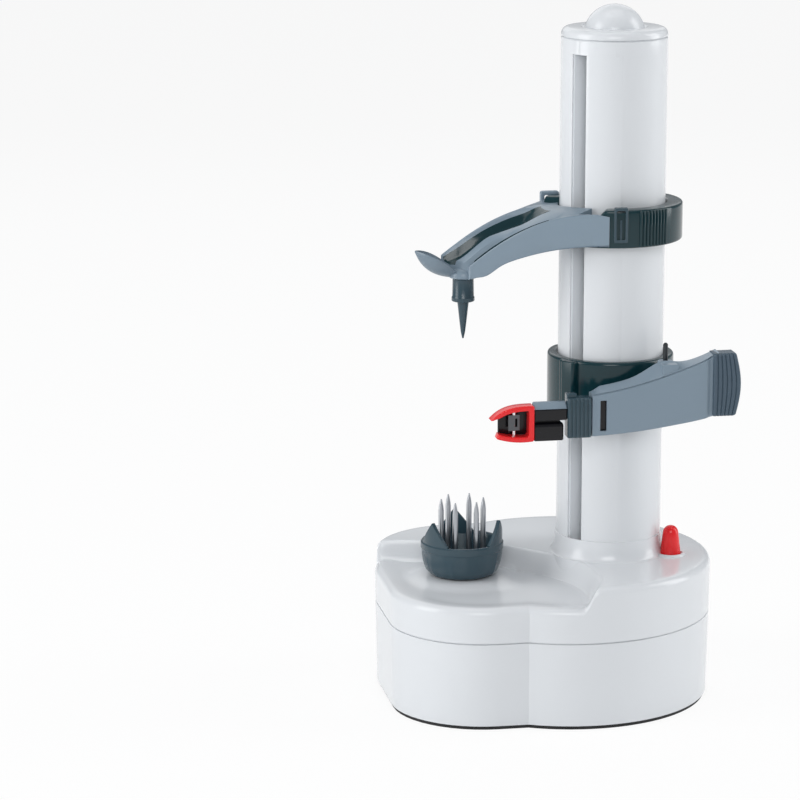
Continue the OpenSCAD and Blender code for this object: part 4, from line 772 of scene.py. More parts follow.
def arm_under(x):
    """Height of the arm's lower edge."""
    return bowed(x, -ARM_LEFT, ARM_LOW, ARM_RIGHT, ARM_END_LOW, -1.35)


def arm_crease(x):
    """Height of the edge between the arm's face and its top."""
    return bowed(x, -ARM_LEFT, ARM_TOP, ARM_RIGHT, ARM_END_TOP, -2.3)


def arm_rear(x):
    """Height of the rear edge: above the front edge by a small lift, with a bell-shaped hump over the
    hinge."""
    hump, left_w, right_w = 13.5, 8.5, 7.0
    bell = 3.3 * np.exp(-(((x - hump) / np.where(x < hump, left_w, right_w)) ** 2))
    lift = 1.5 * (1 - smooth((x - 12) / 22)) + 0.35
    return arm_crease(x) + smooth((x + ARM_LEFT) / 5) * (lift + bell)


def arm_face(x):
    """Place of the front face: it swells forwards towards the grip, dips, and ends in a narrow lip."""
    swell_deep, dip_deep = 1.0, 0.9
    swell = swell_deep * (1 - smooth((x - 14) / 16))
    dip = dip_deep * smooth((x - 31.0) / 2.2) * (1 - smooth((x - 34.6) / 0.8))
    return -ARM_FRONT + swell + dip


def arm_bar():
    """A channel section, open to the rear, swept along the arm. A thin groove runs under its crease."""
    wall, back, rings = 2.2, -ARM_BACK, []
    for x in np.concatenate([np.linspace(-ARM_LEFT, 30, 60), np.linspace(30.5, ARM_RIGHT + 1, 22)]):
        under, crease, rear, face = arm_under(x), arm_crease(x), arm_rear(x), arm_face(x)
        section = rounded(
            [
                [face, under], [face, crease - 0.6], [face + 0.7, crease - 0.55], [face + 0.7, crease - 0.1],
                [face + 0.25, crease + 0.05], [back, rear], [back, rear - 1.8], [face + wall, crease - wall],
                [face + wall, under + wall], [back, under + wall], [back, under],
            ],
            [1.0, 0.25, 0.1, 0.1, 0.5, 0.7, 0.3, 0.5, 0.5, 0.3, 0.8],
        )
        rings.append(across_x(section, x))
    return loft(rings)


def grip_right(z):
    """Place of the grip's right side at a height: it bows outwards as half a sine."""
    t = np.clip((z - ARM_END_LOW) / (ARM_END_TOP - ARM_END_LOW), 0, 1)
    return ARM_RIGHT + 8.2 + 2.1 * np.sin(np.pi * t)


def grip_block():
    """The block at the arm's right end. Its face is a row of upright half-round ribs, which bow with its
    side."""
    ribs, rim_count = int(sizes().grip_ribs), 5
    rib_high, rear_right = 0.55, -ARM_FRONT + 1.2
    heights, backs = rim_steps(ARM_END_LOW - 0.1, ARM_END_TOP + 0.3, 1.0, rim_count - 1)
    between = np.linspace(heights[rim_count - 1], heights[rim_count], 16)[1:-1]
    heights = np.insert(heights, rim_count, between)
    backs = np.insert(backs, rim_count, 0 * between)
    across = np.linspace(0, 1, 10 * ribs + 1)
    rib = rib_high * np.abs(np.sin(np.pi * ribs * across)) ** 0.6
    rings = []
    for z, back in zip(heights, backs):
        left, right, rear = ARM_RIGHT - 1.3 + back * 0.3, grip_right(z) - back, -ARM_BACK - back
        front = np.stack([left + (right - left) * across, -ARM_FRONT - 0.05 - rib + back], 1)
        corners = [
            [right + 0.25, rear_right], [right + 0.25, -ARM_BACK - 0.6], [right - 0.6, rear], [left, rear],
        ]
        rings.append(level(np.vstack([front, corners]), z))
    return loft(rings)


def arm_left_wall():
    """The wall that closes the arm's left end."""
    outline = box_outline(-37.6, -33.0, ARM_LOW + 1, ARM_TOP - 1.5, 0.3)
    return sideways(slab(outline, -ARM_LEFT, -ARM_LEFT + 2.2, 0.2))


def arm_knuckle(low, high):
    """A block from the front wall to the hinge, with a round end."""
    r, front = 3.3, -ARM_FRONT + 1.7
    end = arc(r, np.linspace(0, np.pi, 17), HINGE)
    return slab(np.vstack([end, [[HINGE[0] - r, front], [HINGE[0] + r, front]]]), low, high, 0.5)


def arm_tongue():
    """The tongue that enters the ribbed clip."""
    outline = box_outline(-ARM_LEFT - 5, -ARM_LEFT + 2, ARM_LOW + 3, ARM_TOP - 4.6, 0.5)
    return upright(slab(outline, -37.1, -33.7, 0.3))


def arm_window():
    """The upright slit near the arm's left end, and a black pocket behind it: painted shade."""
    left, right, more, low, high = -13.2, -10.5, 0.5, ARM_LOW + 2.2, ARM_TOP - 2.6
    slit = upright(slab(box_outline(left, right, low, high, 0.3), -41, -36, 0.1))
    behind = box_outline(-13.8, -9.9, low - more, high + more, 0.3)
    return slit, accent(upright(slab(behind, -37.2, -36.3, 0.1)))


class PEELER_OT_peeling_arm(bpy.types.Operator):
    """Builds the peeling arm with its grip and ribbed pad"""

    bl_idname = "peeler.peeling_arm"
    bl_label = "Peeling arm"

    def execute(self, context):
        slit, pocket = arm_window()
        knuckles = [arm_knuckle(121.8, 128.7), arm_knuckle(140.8, 147.0)]
        # The pocket takes the second finish, black, as painted shade behind the slit
        parts = [carved(arm_bar(), slit), pocket, arm_left_wall(), arm_tongue(), *knuckles]
        piece("peeling_arm_body", parts, "arm", ["peeling_arm"], "slate", "black")
        piece("grip_block", [grip_block()], "arm", ["grip_pad"], "grip", sharp=40)
        return {"FINISHED"}


def carved(part, cutter):
    """The part with the cutter's space taken out of it."""
    made = [
        new_object("carving", new_mesh("carving", points.tolist(), faces))
        for points, faces in (part, cutter)
    ]
    cut = made[0].modifiers.new("cut", "BOOLEAN")
    cut.operation = "DIFFERENCE"
    cut.solver = "EXACT"
    cut.object = made[1]
    done = made[0].evaluated_get(bpy.context.evaluated_depsgraph_get()).to_mesh()
    points = read(done.vertices, "co", float, 3)
    corners = read(done.loops, "vertex_index", int)
    starts = read(done.polygons, "loop_start", int)
    for solid in made:
        bpy.data.objects.remove(solid)
    return points, [face.tolist() for face in np.split(corners, starts[1:])]


# ---- Blade head ----


def clip_block():
    """The ribbed clip between arm and stem: a body, a tab on its top and six upright ribs on its front."""
    ribs, pitch = 6, (HEAD_RIGHT - HEAD_JOIN) / 6
    body = box_outline(HEAD_JOIN, HEAD_RIGHT, CLIP_FRONT, CLIP_BACK, 0.7)
    tab = box_outline(HEAD_JOIN, HEAD_JOIN + 4.2, CLIP_FRONT + 2, CLIP_BACK, 0.6)
    parts = [slab(body, CLIP_LOW, CLIP_HIGH, 0.5), slab(tab, CLIP_HIGH - 0.8, CLIP_HIGH + 1.7, 0.6)]
    places = [(HEAD_JOIN + (i + 0.5) * pitch, CLIP_FRONT + 0.15) for i in range(ribs)]
    return parts + [rod(pitch * 0.38, place, CLIP_LOW, CLIP_HIGH, 0.3) for place in places]


def stem_bar(right, low, high, slope, lit):
    """A bar along X whose upper front edge is sloped. Where lit, the slope shows the second finish as a
    painted highlight.
    """
    front, back, ease = STEM_FRONT, STEM_BACK, 0.5
    corners = [[front, low], [front, high - slope], [front + slope, high], [back, high], [back, low]]
    section = rounded(corners, ease)
    stops = ((HEAD_LEFT, ease), (HEAD_LEFT + ease, 0), (right - ease, 0), (right, ease))
    marks = np.zeros((len(stops) - 1, len(section)), int)
    marks[:, 9:18] = lit
    return accent(loft([across_x(inset(section, pull), x) for x, pull in stops]), marks.ravel())


def stem_bars():
    """Two black bars one above the other, joined by a web behind them, and a black plate behind the guard's
    mouth, with the post that holds it. The plate is painted shade, a dark sheet where the mouth lies in
    shadow."""
    low, high = STEM_LOW, STEM_LOW + 15.8
    upper = stem_bar(HEAD_JOIN - 0.05, high - STEM_BAR, high, 2.6, True)
    lower = stem_bar(HEAD_JOIN - 1.6, low, low + STEM_BAR, 1.0, False)
    left, right, foot = -54.9, -37.9, 119.2
    web = box_outline(HEAD_LEFT, HEAD_JOIN - 2.6, low + 1, high - 1, 0.5)
    # Painted shade: a black plate that fills the guard's mouth from behind
    plate = rounded([[right, foot], [right, 131.0], [-49.9, 130.0], [left, 127.2], [left, foot]], 0.8)
    post = box_outline(-40.8, -37.4, 119.3, 131.1, 0.4)
    flats = ((web, -35.9, -34.1, 0.3), (plate, -33.4, -32.2, 0.3), (post, -35.5, -32.4, 0.2))
    return [upper, lower] + [upright(slab(*flat)) for flat in flats]


def guard_top(x):
    """The upper lip's upper line: it leaves the tip steeply and levels out."""
    t = np.clip((x - GUARD_LEFT) / (GUARD_RIGHT - GUARD_LEFT), 0, 1)
    return GUARD_TIP + 5.6 * (1 - (1 - t) ** 3.4)


def guard_low(x):
    """The lower lip's lower line."""
    return bowed(x, GUARD_LEFT + 2.6, GUARD_LOW + 1.4, GUARD_RIGHT, GUARD_LOW, -0.9)


def guard_mouth():
    """The guard: an upper and a lower lip joined at the right and open to the left."""
    left, right, lip, ease = GUARD_LEFT + 2.6, GUARD_RIGHT, 2.1, 0.5
    inner = right - lip
    over = np.linspace(GUARD_LEFT, right - ease, 24)
    under = np.linspace(right - ease, left, 14)
    floor = np.linspace(left + 0.7, inner - 0.6, 12)
    roof = np.linspace(inner - 0.6, GUARD_LEFT + 0.9, 20)
    thin = lip * (0.35 + 0.65 * smooth((roof - GUARD_LEFT) / 4))
    outline = np.vstack([
        np.stack([over, guard_top(over)], 1), [[right, guard_top(right) - ease], [right, GUARD_LOW + ease]],
        np.stack([under, guard_low(under)], 1), np.stack([floor, guard_low(floor) + lip], 1),
        [[inner, GUARD_LOW + lip + 0.6], [inner, guard_top(right) - lip - 0.6]],
        np.stack([roof, guard_top(roof) - thin], 1),
    ])
    return upright(slab(outline, GUARD_FRONT, GUARD_BACK, 0.35))


class PEELER_OT_blade_head(bpy.types.Operator):
    """Builds the clip, the stem and the red guard round the blade"""

    bl_idname = "peeler.blade_head"
    bl_label = "Blade head"

    def execute(self, context):
        piece("ribbed_clip", clip_block(), "arm", ["blade_clip"], "slate_mid")
        # The stem's second finish, slate, is a painted highlight on its upper slope
        piece("stem_bars", stem_bars(), "arm", ["blade_stem"], "black", "slate")
        piece("guard_mouth", [guard_mouth()], "arm", ["blade_guard"], "red")
        eased_copy("blade", "blade", bevel=0.12)
        return {"FINISHED"}


# ---- Food holder ----


def collar_ring():
    """The collar's ring. Its top comes down on the left, where the arm runs over it."""
    points, faces = open_ring(COLLAR_IN_R, COLLAR_OUT_R, COLLAR_LOW, COLLAR_HIGH, 1.2)
    around = np.degrees(np.arctan2(points[:, 1], points[:, 0])) % 360
    drop = 6.4 * (1 - smooth((around - 238) / 14)) * smooth((around - 150) / 12)
    points[:, 2] -= drop * (points[:, 2] - COLLAR_LOW) / (COLLAR_HIGH - COLLAR_LOW)
    return points, faces


def collar_ribs():
    """Upright half-round ribs round the collar's right side."""
    rib = rod(0.62, (COLLAR_OUT_R, 0), COLLAR_LOW, COLLAR_HIGH, 0.4)
    return [turned(rib, a) for a in np.linspace(-80, -55, int(sizes().collar_ribs))]


def collar_ear():
    """The standing loop at the collar's open end."""
    x0, x1, low, high, bar = -26.4, -18.4, COLLAR_LOW + 7, COLLAR_HIGH + 1.2, 1.7
    outer = box_outline(x0, x1, low, high, 1.2)
    hole = box_outline(x0 + bar, x1 - bar, low + bar, high - bar, 0.6)
    return upright(frame_slab(outer, hole, 18.2, 20.8, 0.4))


def latch_frame():
    """A raised frame on the collar with a dark recess in it, and a bar in the recess."""
    x0, x1 = COLLAR_OUT_R - 1.5, COLLAR_OUT_R + 1.2
    low, high, half, side, end = COLLAR_LOW + 2.5, COLLAR_HIGH + 1.3, 2.85, 1.1, 1.3
    outer = box_outline(-half, half, low, high, 0.7)
    inner = box_outline(-half + side, half - side, low + end, high - end, 0.5)
    back = box_outline(-half + 0.5, half - 0.5, low + 0.5, high - 0.5, 0.5)
    bar = box_outline(-0.45, 0.45, low + 1, high - 5, 0.2)
    plates = [slab(back, x0, x0 + 1.4, 0.2), slab(bar, x0 + 1, x1 - 0.4, 0.2)]
    parts = [turned(sideways(p), LATCH_DIR) for p in (frame_slab(outer, inner, x0, x1, 0.35), *plates)]
    return [parts[0], accent(parts[1]), parts[2]]


ROOT_X, TIP_X = -8.0, -62.3
ROOT_HALF, TIP_HALF = 28.0, 6.8
TAB_START, TAB_END = (-62.9, 179.0), (-83.3, 190.9)
# One lane of the holder arm's section each: its place across, as a share of the half width, how much of the
# under, side, near and crest line its height takes, and how far it lies below that
LANES = np.array([
    (-0.98, 1, 0, 0, 0, 0), (-1, 0.93, 0.07, 0, 0, 0), (-1, 0.5, 0.5, 0, 0, 0), (-1, 0.04, 0.96, 0, 0, 0),
    (-0.98, 0, 1, 0, 0, 0), (-0.955, 0, 1, 0, 0, 0), (-0.945, 0, 1, 0, 0, 2.0), (-0.905, 0, 1, 0, 0, 2.0),
    (-0.895, 0, 0.98, 0.02, 0, 0), (-0.72, 0, 0.5, 0.5, 0, -0.3), (-0.5, 0, 0.07, 0.93, 0, 0),
    (-0.42, 0, 0, 1, 0, 0), (-0.385, 0, 0, 1, 0, 0.5), (-0.35, 0, 0, 1, 0, 2.6),
    (-0.15, 0, 0, 0.7, 0.3, 3.6), (0.09, 0, 0, 0.4, 0.6, 3.5), (0.16, 0, 0, 0.3, 0.7, 2.6),
    (0.24, 0, 0, 0.1, 0.9, 1.4), (0.33, 0, 0, 0, 1, 0.5), (0.43, 0, 0, 0, 1, 0), (0.5, 0, 0, 0, 1, 0.3),
    (0.75, 0, 0.5, 0, 0.5, -0.6), (0.96, 0, 1, 0, 0, -0.4), (1, 0.06, 0.94, 0, 0, 0),
    (1, 0.5, 0.5, 0, 0, 0), (1, 0.95, 0.05, 0, 0, 0), (0.97, 1, 0, 0, 0, 0),
])
# The lanes of the hollow channel and of the groove, and the stations between which they get painted shade
CHANNEL_LANES, GROOVE_LANES = (12, 17), (5, 8)
CHANNEL_SHADE_STOP, GROOVE_SHADE_START, GROOVE_SHADE_STOP = 54, 4, 46


def holder_line(x, root, tip, bow):
    """A bowed line from the collar to the holder arm's tip."""
    return bowed(x, ROOT_X, root, TIP_X, tip, bow)


def holder_under(x):
    """The lower line: bowed, with a knee before the tip, and rising with the tab beyond it."""
    line = holder_line(x, COLLAR_LOW + 0.7, COLLAR_LOW - 15, 4.1) - 2.0 * np.exp(-(((x + 55) / 4.5) ** 2))
    rise = (TAB_END[1] - TAB_START[1]) / (TAB_START[0] - TAB_END[0])
    return np.where(x < TIP_X, COLLAR_LOW - 15 + (TIP_X - x) * rise, line)


def holder_half(x):
    """The holder arm's half width, which grows evenly from its tip to its root."""
    return TIP_HALF + (ROOT_HALF - TIP_HALF) * (x - TIP_X) / (ROOT_X - TIP_X)


def holder_beam():
    """The arched arm: lanes run from the rounded nose to the collar, each at its share of the half width. The
    section goes up the near side, over a groove and a band, through a hollow channel, over the far rib and
    down. Lanes on the top end against the column, and the others inside the collar."""
    share, weights, drop = LANES[:, 0], LANES[:, 1:5], LANES[:, 5]
    stations = np.linspace(0, 1, 64)[:, None]
    on_top = (np.arange(len(share)) > GROOVE_LANES[1]) & (share < 0.97)
    limit = np.where(on_top, COLUMN_R + 0.9, COLLAR_OUT_R - 0.6)
    end = np.full(len(share), ROOT_X)
    for _ in range(30):
        across = np.minimum(np.abs(share) * holder_half(end), limit)
        end = np.minimum(ROOT_X, -np.sqrt(np.maximum(limit**2 - across**2, 0)))
    start = np.interp(share, [-1, -0.42, 0, 0.42, 0.8, 1], [-61.5, -66, -70.5, -72, -69, -64])
    x = start + (end - start) * stations
    widen = np.zeros(len(share))
    widen[GROOVE_LANES[0] + 2:GROOVE_LANES[1] + 1] = 0.16
    share = share + widen * (1 - smooth(stations / 0.8))
    half = np.maximum(holder_half(x), TIP_HALF * 0.8) + 0.6 * smooth((x + 32) / 14)
    under = holder_under(x)
    side = holder_line(x, COLLAR_HIGH - 2.0, COLLAR_LOW - 10, 7.2)
    crest = holder_line(x, COLLAR_HIGH - 4.2, COLLAR_LOW + 1.0, 6.0)
    near = holder_line(x, COLLAR_HIGH + 1.4, COLLAR_LOW + 1.0, 2.0)
    near = near - 2.4 * smooth((-28 - x) / 14) - 4.4 * smooth((-52 - x) / 14)
    lines = np.stack([under, np.maximum(side, under + 1), np.maximum(near, under + 2), crest], -1)
    shallow = np.ones_like(x)
    channel_fade = smooth((0.88 - stations) / 0.2) * (0.6 + 0.4 * smooth(stations / 0.15))
    groove_fade = smooth(stations / 0.1) * (1 - smooth((stations - 0.5) / 0.35))
    shallow[:, CHANNEL_LANES[0]:CHANNEL_LANES[1] + 2] = channel_fade
    shallow[:, GROOVE_LANES[0] + 1:GROOVE_LANES[1]] = groove_fade
    z = np.maximum((lines * weights).sum(-1) - drop * shallow, under)
    over = np.stack([x, share * half, z], -1)
    below = np.stack([x, share * half, under - 0.02], -1)[:, ::-1]
    # Painted shade: the channel's and the groove's faces take the second finish, dark teal
    dark = np.zeros((len(stations) - 1, 2 * len(LANES)), int)
    dark[:CHANNEL_SHADE_STOP, CHANNEL_LANES[0]:CHANNEL_LANES[1]] = 1
    dark[GROOVE_SHADE_START:GROOVE_SHADE_STOP, GROOVE_LANES[0]:GROOVE_LANES[1]] = 1
    return accent(loft(np.concatenate([over, below], 1), "zip", "zip"), dark.ravel())


def holder_tip():
    """The rounded block that holds the spike: its radius falls as a cosine while it rises."""
    r, low = 6.2, COLLAR_LOW - 15.1
    t = np.linspace(0, 1, 9)
    crown = np.stack([r * np.cos(1.35 * t**1.5), low + 0.5 + 5.0 * t], 1)
    return revolved(np.vstack([[[r - 0.6, low]], crown]), 48, "cap", "pole", (FOOD_X, 0))


def thumb_tab():
    """A boat-shaped leaf, pointed at both ends, from the arm's tip up to the left. Its half width, the depth
    of its keel and the height of its sides all follow one lens, 1 - (2u^1.2 - 1)^2, along its length, and
    across it the surface rises as the square."""
    half_w, keel, side, thick = 7.1, 3.55, 5.2, 1.7
    u = np.linspace(0.004, 0.996, 40)[:, None]
    v = np.linspace(-1, 1, 25)[None, :]
    lens = 1 - (2 * u**1.2 - 1) ** 2
    up = lens * (side * v**2 - keel)
    body = thick * (0.35 + 0.65 * lens) * (0.5 - 0.3 * np.abs(v) ** 3)
    start, end = np.array(TAB_START), np.array(TAB_END)
    length = np.linalg.norm(end - start)
    along = (end - start) / length
    normal = np.array([along[1], -along[0]])

    def sheet(lift):
        x, z = (start[i] + along[i] * length * u + normal[i] * lift for i in (0, 1))
        return np.stack([x, half_w * lens**0.9 * v, z], -1)

    return loft(np.concatenate([sheet(up + body), sheet(up - body)[:, ::-1]], 1), "zip", "zip")


def spike_body():
    """Sleeve with a lip, then the tapered spike down to its point."""
    top, low = COLLAR_LOW - 15.4, COLLAR_LOW - 25.0
    tip = span("top_spike")[0][2]
    profile = [
        [0.3, tip], [0.9, tip + 2.6], [1.45, tip + 7], [2.35, low - 0.8], [2.6, low], [4.5, low],
        [4.8, low + 0.3], [4.8, low + 1.6], [4.5, low + 2.2], [4.4, top - 0.6], [4.4, top - 0.2], [4.1, top],
    ]
    return revolved(profile, 48, "pole", "cap", (FOOD_X, 0))


class PEELER_OT_food_holder(bpy.types.Operator):
    """Builds the collar, the arched arm with its tab, and the spike"""

    bl_idname = "peeler.food_holder"
    bl_label = "Food holder"

    def execute(self, context):
        # The ear takes the second finish, the lighter slate: a painted highlight on the collar's dark teal
        collar = [collar_ring(), *collar_ribs(), accent(collar_ear())]
        latch, beam = latch_frame(), [holder_beam(), holder_tip()]
        piece("collar_body", collar, "holder", ["holder_collar"], "teal", "slate")
        piece("collar_latch_frame", latch, "holder", ["collar_latch"], "slate_mid", "black")
        # The beam's second finish, dark teal, is painted shade in its channel and groove
        piece("holder_beam", beam, "holder", ["holder_arm"], "slate", "teal")
        piece("thumb_tab", [thumb_tab()], "holder", ["holder_arm"], "tab", sharp=50)
        piece("spike_body", [spike_body()], "spike", ["top_spike"], "slate_mid")
        return {"FINISHED"}


# ---- Start button ----


def button_body():
    """A tapered button with a round top, on a stem that ends above the switch, and its centre."""
    (x0, y0, z0), (x1, y1, z1) = span("start_button")
    centre = ((x0 + x1) / 2, (y0 + y1) / 2)
    r, top_r, foot, stem_r = 4.6, 3.3, PLATFORM - 1.4, 2.0
    ball = arc(top_r, np.linspace(0.12, np.pi / 2 - 0.05, 12), (0, z1 - top_r))
    stem = [[stem_r, z0], [stem_r, foot - 1], [r - 0.2, foot - 0.6], [r, foot]]
    return revolved(np.vstack([stem, ball]), 64, "cap", "pole", centre), centre


def button_collar(centre):
    """The ring round the button: an upright section with an eased outer shoulder."""
    inner, outer, low, high = 4.95, 6.6, PLATFORM - 1, PLATFORM + 0.9
    corners = [[inner, low], [outer, low], [outer, PLATFORM + 0.1], [5.9, high], [inner, high]]
    return turned_ring(rounded(corners, 0.3), centre, 64)


class PEELER_OT_start_button(bpy.types.Operator):
    """Builds the red start button, the ring round it and the spring under it"""

    bl_idname = "peeler.start_button"
    bl_label = "Start button"

    def execute(self, context):
        body, centre = button_body()
        piece("button_body", [body], "button", ["start_button"], "red")
        piece("button_ring", [button_collar(centre)], "base", ["button_bezel"], "white")
        low, high = (corner[2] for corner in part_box("button_spring"))
        place = ((AXIS_X + centre[0]) * MM, centre[1] * MM, low)
        spring = eased_copy("button_spring", "steel")
        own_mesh(spring)
        return {"FINISHED"}


# ---- Finishes ----


class Value:
    """A number that varies over a surface. Its operators add Math nodes."""

    def __init__(self, tree, socket):
        self.tree, self.socket = tree, socket

    def _math(self, operation, *terms):
        node = self.tree.nodes.new("ShaderNodeMath")
        node.operation = operation
        for place, term in enumerate(terms):
            if isinstance(term, Value):
                self.tree.links.new(term.socket, node.inputs[place])
            else:
                node.inputs[place].default_value = term
        return Value(self.tree, node.outputs[0])

    def __add__(self, other):
        return self._math("ADD", self, other)

    def __radd__(self, other):
        return self._math("ADD", other, self)

    def __sub__(self, other):
        return self._math("SUBTRACT", self, other)

    def __rsub__(self, other):
        return self._math("SUBTRACT", other, self)

    def __mul__(self, other):
        return self._math("MULTIPLY", self, other)

    def __rmul__(self, other):
        return self._math("MULTIPLY", other, self)


class Finish:
    """A material with a Principled shader, and short ways to add nodes to it."""

    def __init__(self, name, **constants):
        self.material = bpy.data.materials.new(name)
        self.material.use_nodes = True
        self.tree = self.material.node_tree
        self.shader = next(n for n in self.tree.nodes if n.type == "BSDF_PRINCIPLED")
        for socket, value in constants.items():
            self.shader.inputs[socket.replace("_", " ")].default_value = value

    def node(self, kind, settings=None, **inputs):
        """Adds a node, sets it, then its sockets, by value or by link."""
        node = self.tree.nodes.new(kind)
        for name, value in (settings or {}).items():
            setattr(node, name, value)
        for name, value in inputs.items():
            socket = node.inputs[name.replace("_", " ")]
            if isinstance(value, Value):
                self.tree.links.new(value.socket, socket)
            elif isinstance(value, bpy.types.NodeSocket):
                self.tree.links.new(value, socket)
            else:
                socket.default_value = value
        return node

    def place(self, stretch=(1, 1, 1)):
        """The object's own coordinates, stretched."""
        coordinates = self.node("ShaderNodeTexCoord").outputs["Object"]
        return self.node("ShaderNodeMapping", Vector=coordinates, Scale=stretch).outputs[0]

    def noise(self, scale, detail=3.0, stretch=(1, 1, 1)):
        """Noise on the object's own coordinates, as a value."""
        node = self.node("ShaderNodeTexNoise", Vector=self.place(stretch), Scale=scale, Detail=detail)
        return Value(self.tree, node.outputs[0])

    def tint(self, mask, dark, light):
        """A colour between two, by a mask, for the shader's base colour."""
        node = self.node("ShaderNodeMix", {"data_type": "RGBA"})
        self.tree.links.new(mask.socket, node.inputs["Factor"])
        node.inputs[6].default_value = (*dark, 1)
        node.inputs[7].default_value = (*light, 1)
        self.tree.links.new(node.outputs[2], self.shader.inputs["Base Color"])

    def rough(self, value):
        """A value for the shader's roughness."""
        self.tree.links.new(value.socket, self.shader.inputs["Roughness"])

    def bump(self, height, distance, strength):
        """A height, in metres where it is 1, for the shader's normal."""
        node = self.node("ShaderNodeBump", Height=height, Distance=distance, Strength=strength)
        self.tree.links.new(node.outputs[0], self.shader.inputs["Normal"])


def moulded(name, colour, roughness, spread, specular=0.5, grain=0.00002):
    """Moulded plastic: broad faint cloudiness in colour and gloss, and the fine skin of the mould."""
    cloud_scale, skin_scale, cloud_gloss, skin_gloss, skin_strength = 22.0, 1400.0, 0.08, 0.04, 0.4
    finish = Finish(name, IOR=1.5, Specular_IOR_Level=specular)
    cloud = finish.noise(cloud_scale, 2.0)
    finish.tint(cloud, [c * (1 - spread) for c in colour], [min(1, c * (1 + spread)) for c in colour])
    skin = finish.noise(skin_scale, 2.0)
    least = roughness - (cloud_gloss + skin_gloss) / 2
    finish.rough(cloud * cloud_gloss + skin * skin_gloss + least)
    finish.bump(skin, grain, skin_strength)
    return finish.material


def drawn_metal(name, colour, roughness, stretch=(60, 60, 2)):
    """Metal with fine lines along one direction in its gloss and height."""
    line_scale, darkest, line_gloss, line_deep, line_strength = 38.0, 0.86, 0.18, 0.00003, 0.35
    finish = Finish(name, Metallic=1.0)
    lines = finish.noise(line_scale, 4.0, stretch)
    finish.tint(lines, [c * darkest for c in colour], colour)
    finish.rough(lines * line_gloss + (roughness - 0.08))
    finish.bump(lines, line_deep, line_strength)
    return finish.material


# One finish each: how it is made, its material's name, its colour, or one of the panel's colours with a
# factor, its roughness, and for a plastic how far its colour strays, and its specular level and grain where
# they aren't the usual ones, or for a metal the stretch of its lines where they don't run along Z
FINISHES = {
    "white": (moulded, "white gloss plastic", ("shell", 1), 0.2, 0.012),
    # Slate is the arms' own colour, and a painted highlight on the stem's upper slope and on the collar's ear
    "slate": (moulded, "slate plastic", ("arms", 1), 0.3, 0.05),
    # The rail is the shell's white made lighter: painted light, standing in for the light that reaches into
    # the slot
    "rail": (moulded, "slot rail plastic", ("shell", 1.25), 0.35, 0.012),
    "tab": (moulded, "tab plastic", ("arms", 0.82), 0.3, 0.06),
    "slate_mid": (moulded, "dark slate plastic", ("cup", 1), 0.24, 0.08),
    # Dark teal is the carriage's and the collar's own colour, and painted shade in the holder beam's channel
    # and groove
    "teal": (moulded, "dark teal gloss plastic", ("clips", 1), 0.16, 0.15, 0.4),
    "grip": (moulded, "grip plastic", ("grip", 1), 0.42, 0.08),
    # Black is the stem's own colour, and painted shade in the plate behind the guard and the pocket behind
    # the arm's slit
    "black": (moulded, "black gloss plastic", (0.004, 0.004, 0.006), 0.2, 0.2, 0.35),
    "red": (moulded, "red gloss plastic", ("red", 1), 0.2, 0.05, 0.4),
    "rubber": (moulded, "foot rubber", (0.010, 0.010, 0.011), 0.7, 0.15, 0.5, 0.00008),
    "nylon": (moulded, "gear nylon", (0.72, 0.69, 0.60), 0.45, 0.04),
    "sleeve": (moulded, "cell sleeve", (0.04, 0.10, 0.22), 0.3, 0.08),
    "steel": (drawn_metal, "drawn steel", (0.50, 0.52, 0.55), 0.32),
    "dark_steel": (drawn_metal, "blackened steel", (0.06, 0.065, 0.07), 0.36),
    "blade": (drawn_metal, "ground blade steel", (0.13, 0.135, 0.145), 0.3, (4, 60, 60)),
    "bright_steel": (drawn_metal, "bright steel", (0.86, 0.87, 0.89), 0.25),
    "brass": (drawn_metal, "turned brass", (0.72, 0.52, 0.24), 0.34, (2, 2, 60)),
}
FINISH_OF_SLOT = {
    "shell_white": "white", "arm_slate": "slate", "foot_rubber": "rubber", "black_plastic": "black",
    "red_plastic": "red", "steel": "steel", "blade_steel": "blade", "bearing_brass": "brass",
    "gear_nylon": "nylon", "cell_sleeve": "sleeve",
}
FINISH_OF_NODE = {"hinge_pin": "dark_steel", "blade_pins": "bright_steel"}


@functools.cache
def material(finish):
    """The material of a finish, made when it is first used."""
    make, name, colour, *rest = FINISHES[finish]
    if len(colour) == 2:
        panel_name, factor = colour
        panel_colour = getattr(bpy.context.scene.peeler_colours, panel_name)
        colour = [min(1, c * factor) for c in panel_colour]
    return make(name, colour, *rest)


class PEELER_OT_works(bpy.types.Operator):
    """Gives the pieces that stay as they are their finishes: the gears, motor, cells, screws and springs"""

    bl_idname = "peeler.works"
    bl_label = "Works and fasteners"

    def execute(self, context):
        for name, node in frame["nodes"].items():
            if not node.hide_render:
                node.data.materials.clear()
                finish = FINISH_OF_NODE.get(name, FINISH_OF_SLOT[slot_of(name)])
                node.data.materials.append(material(finish))
        return {"FINISHED"}


# ---- Stage ----


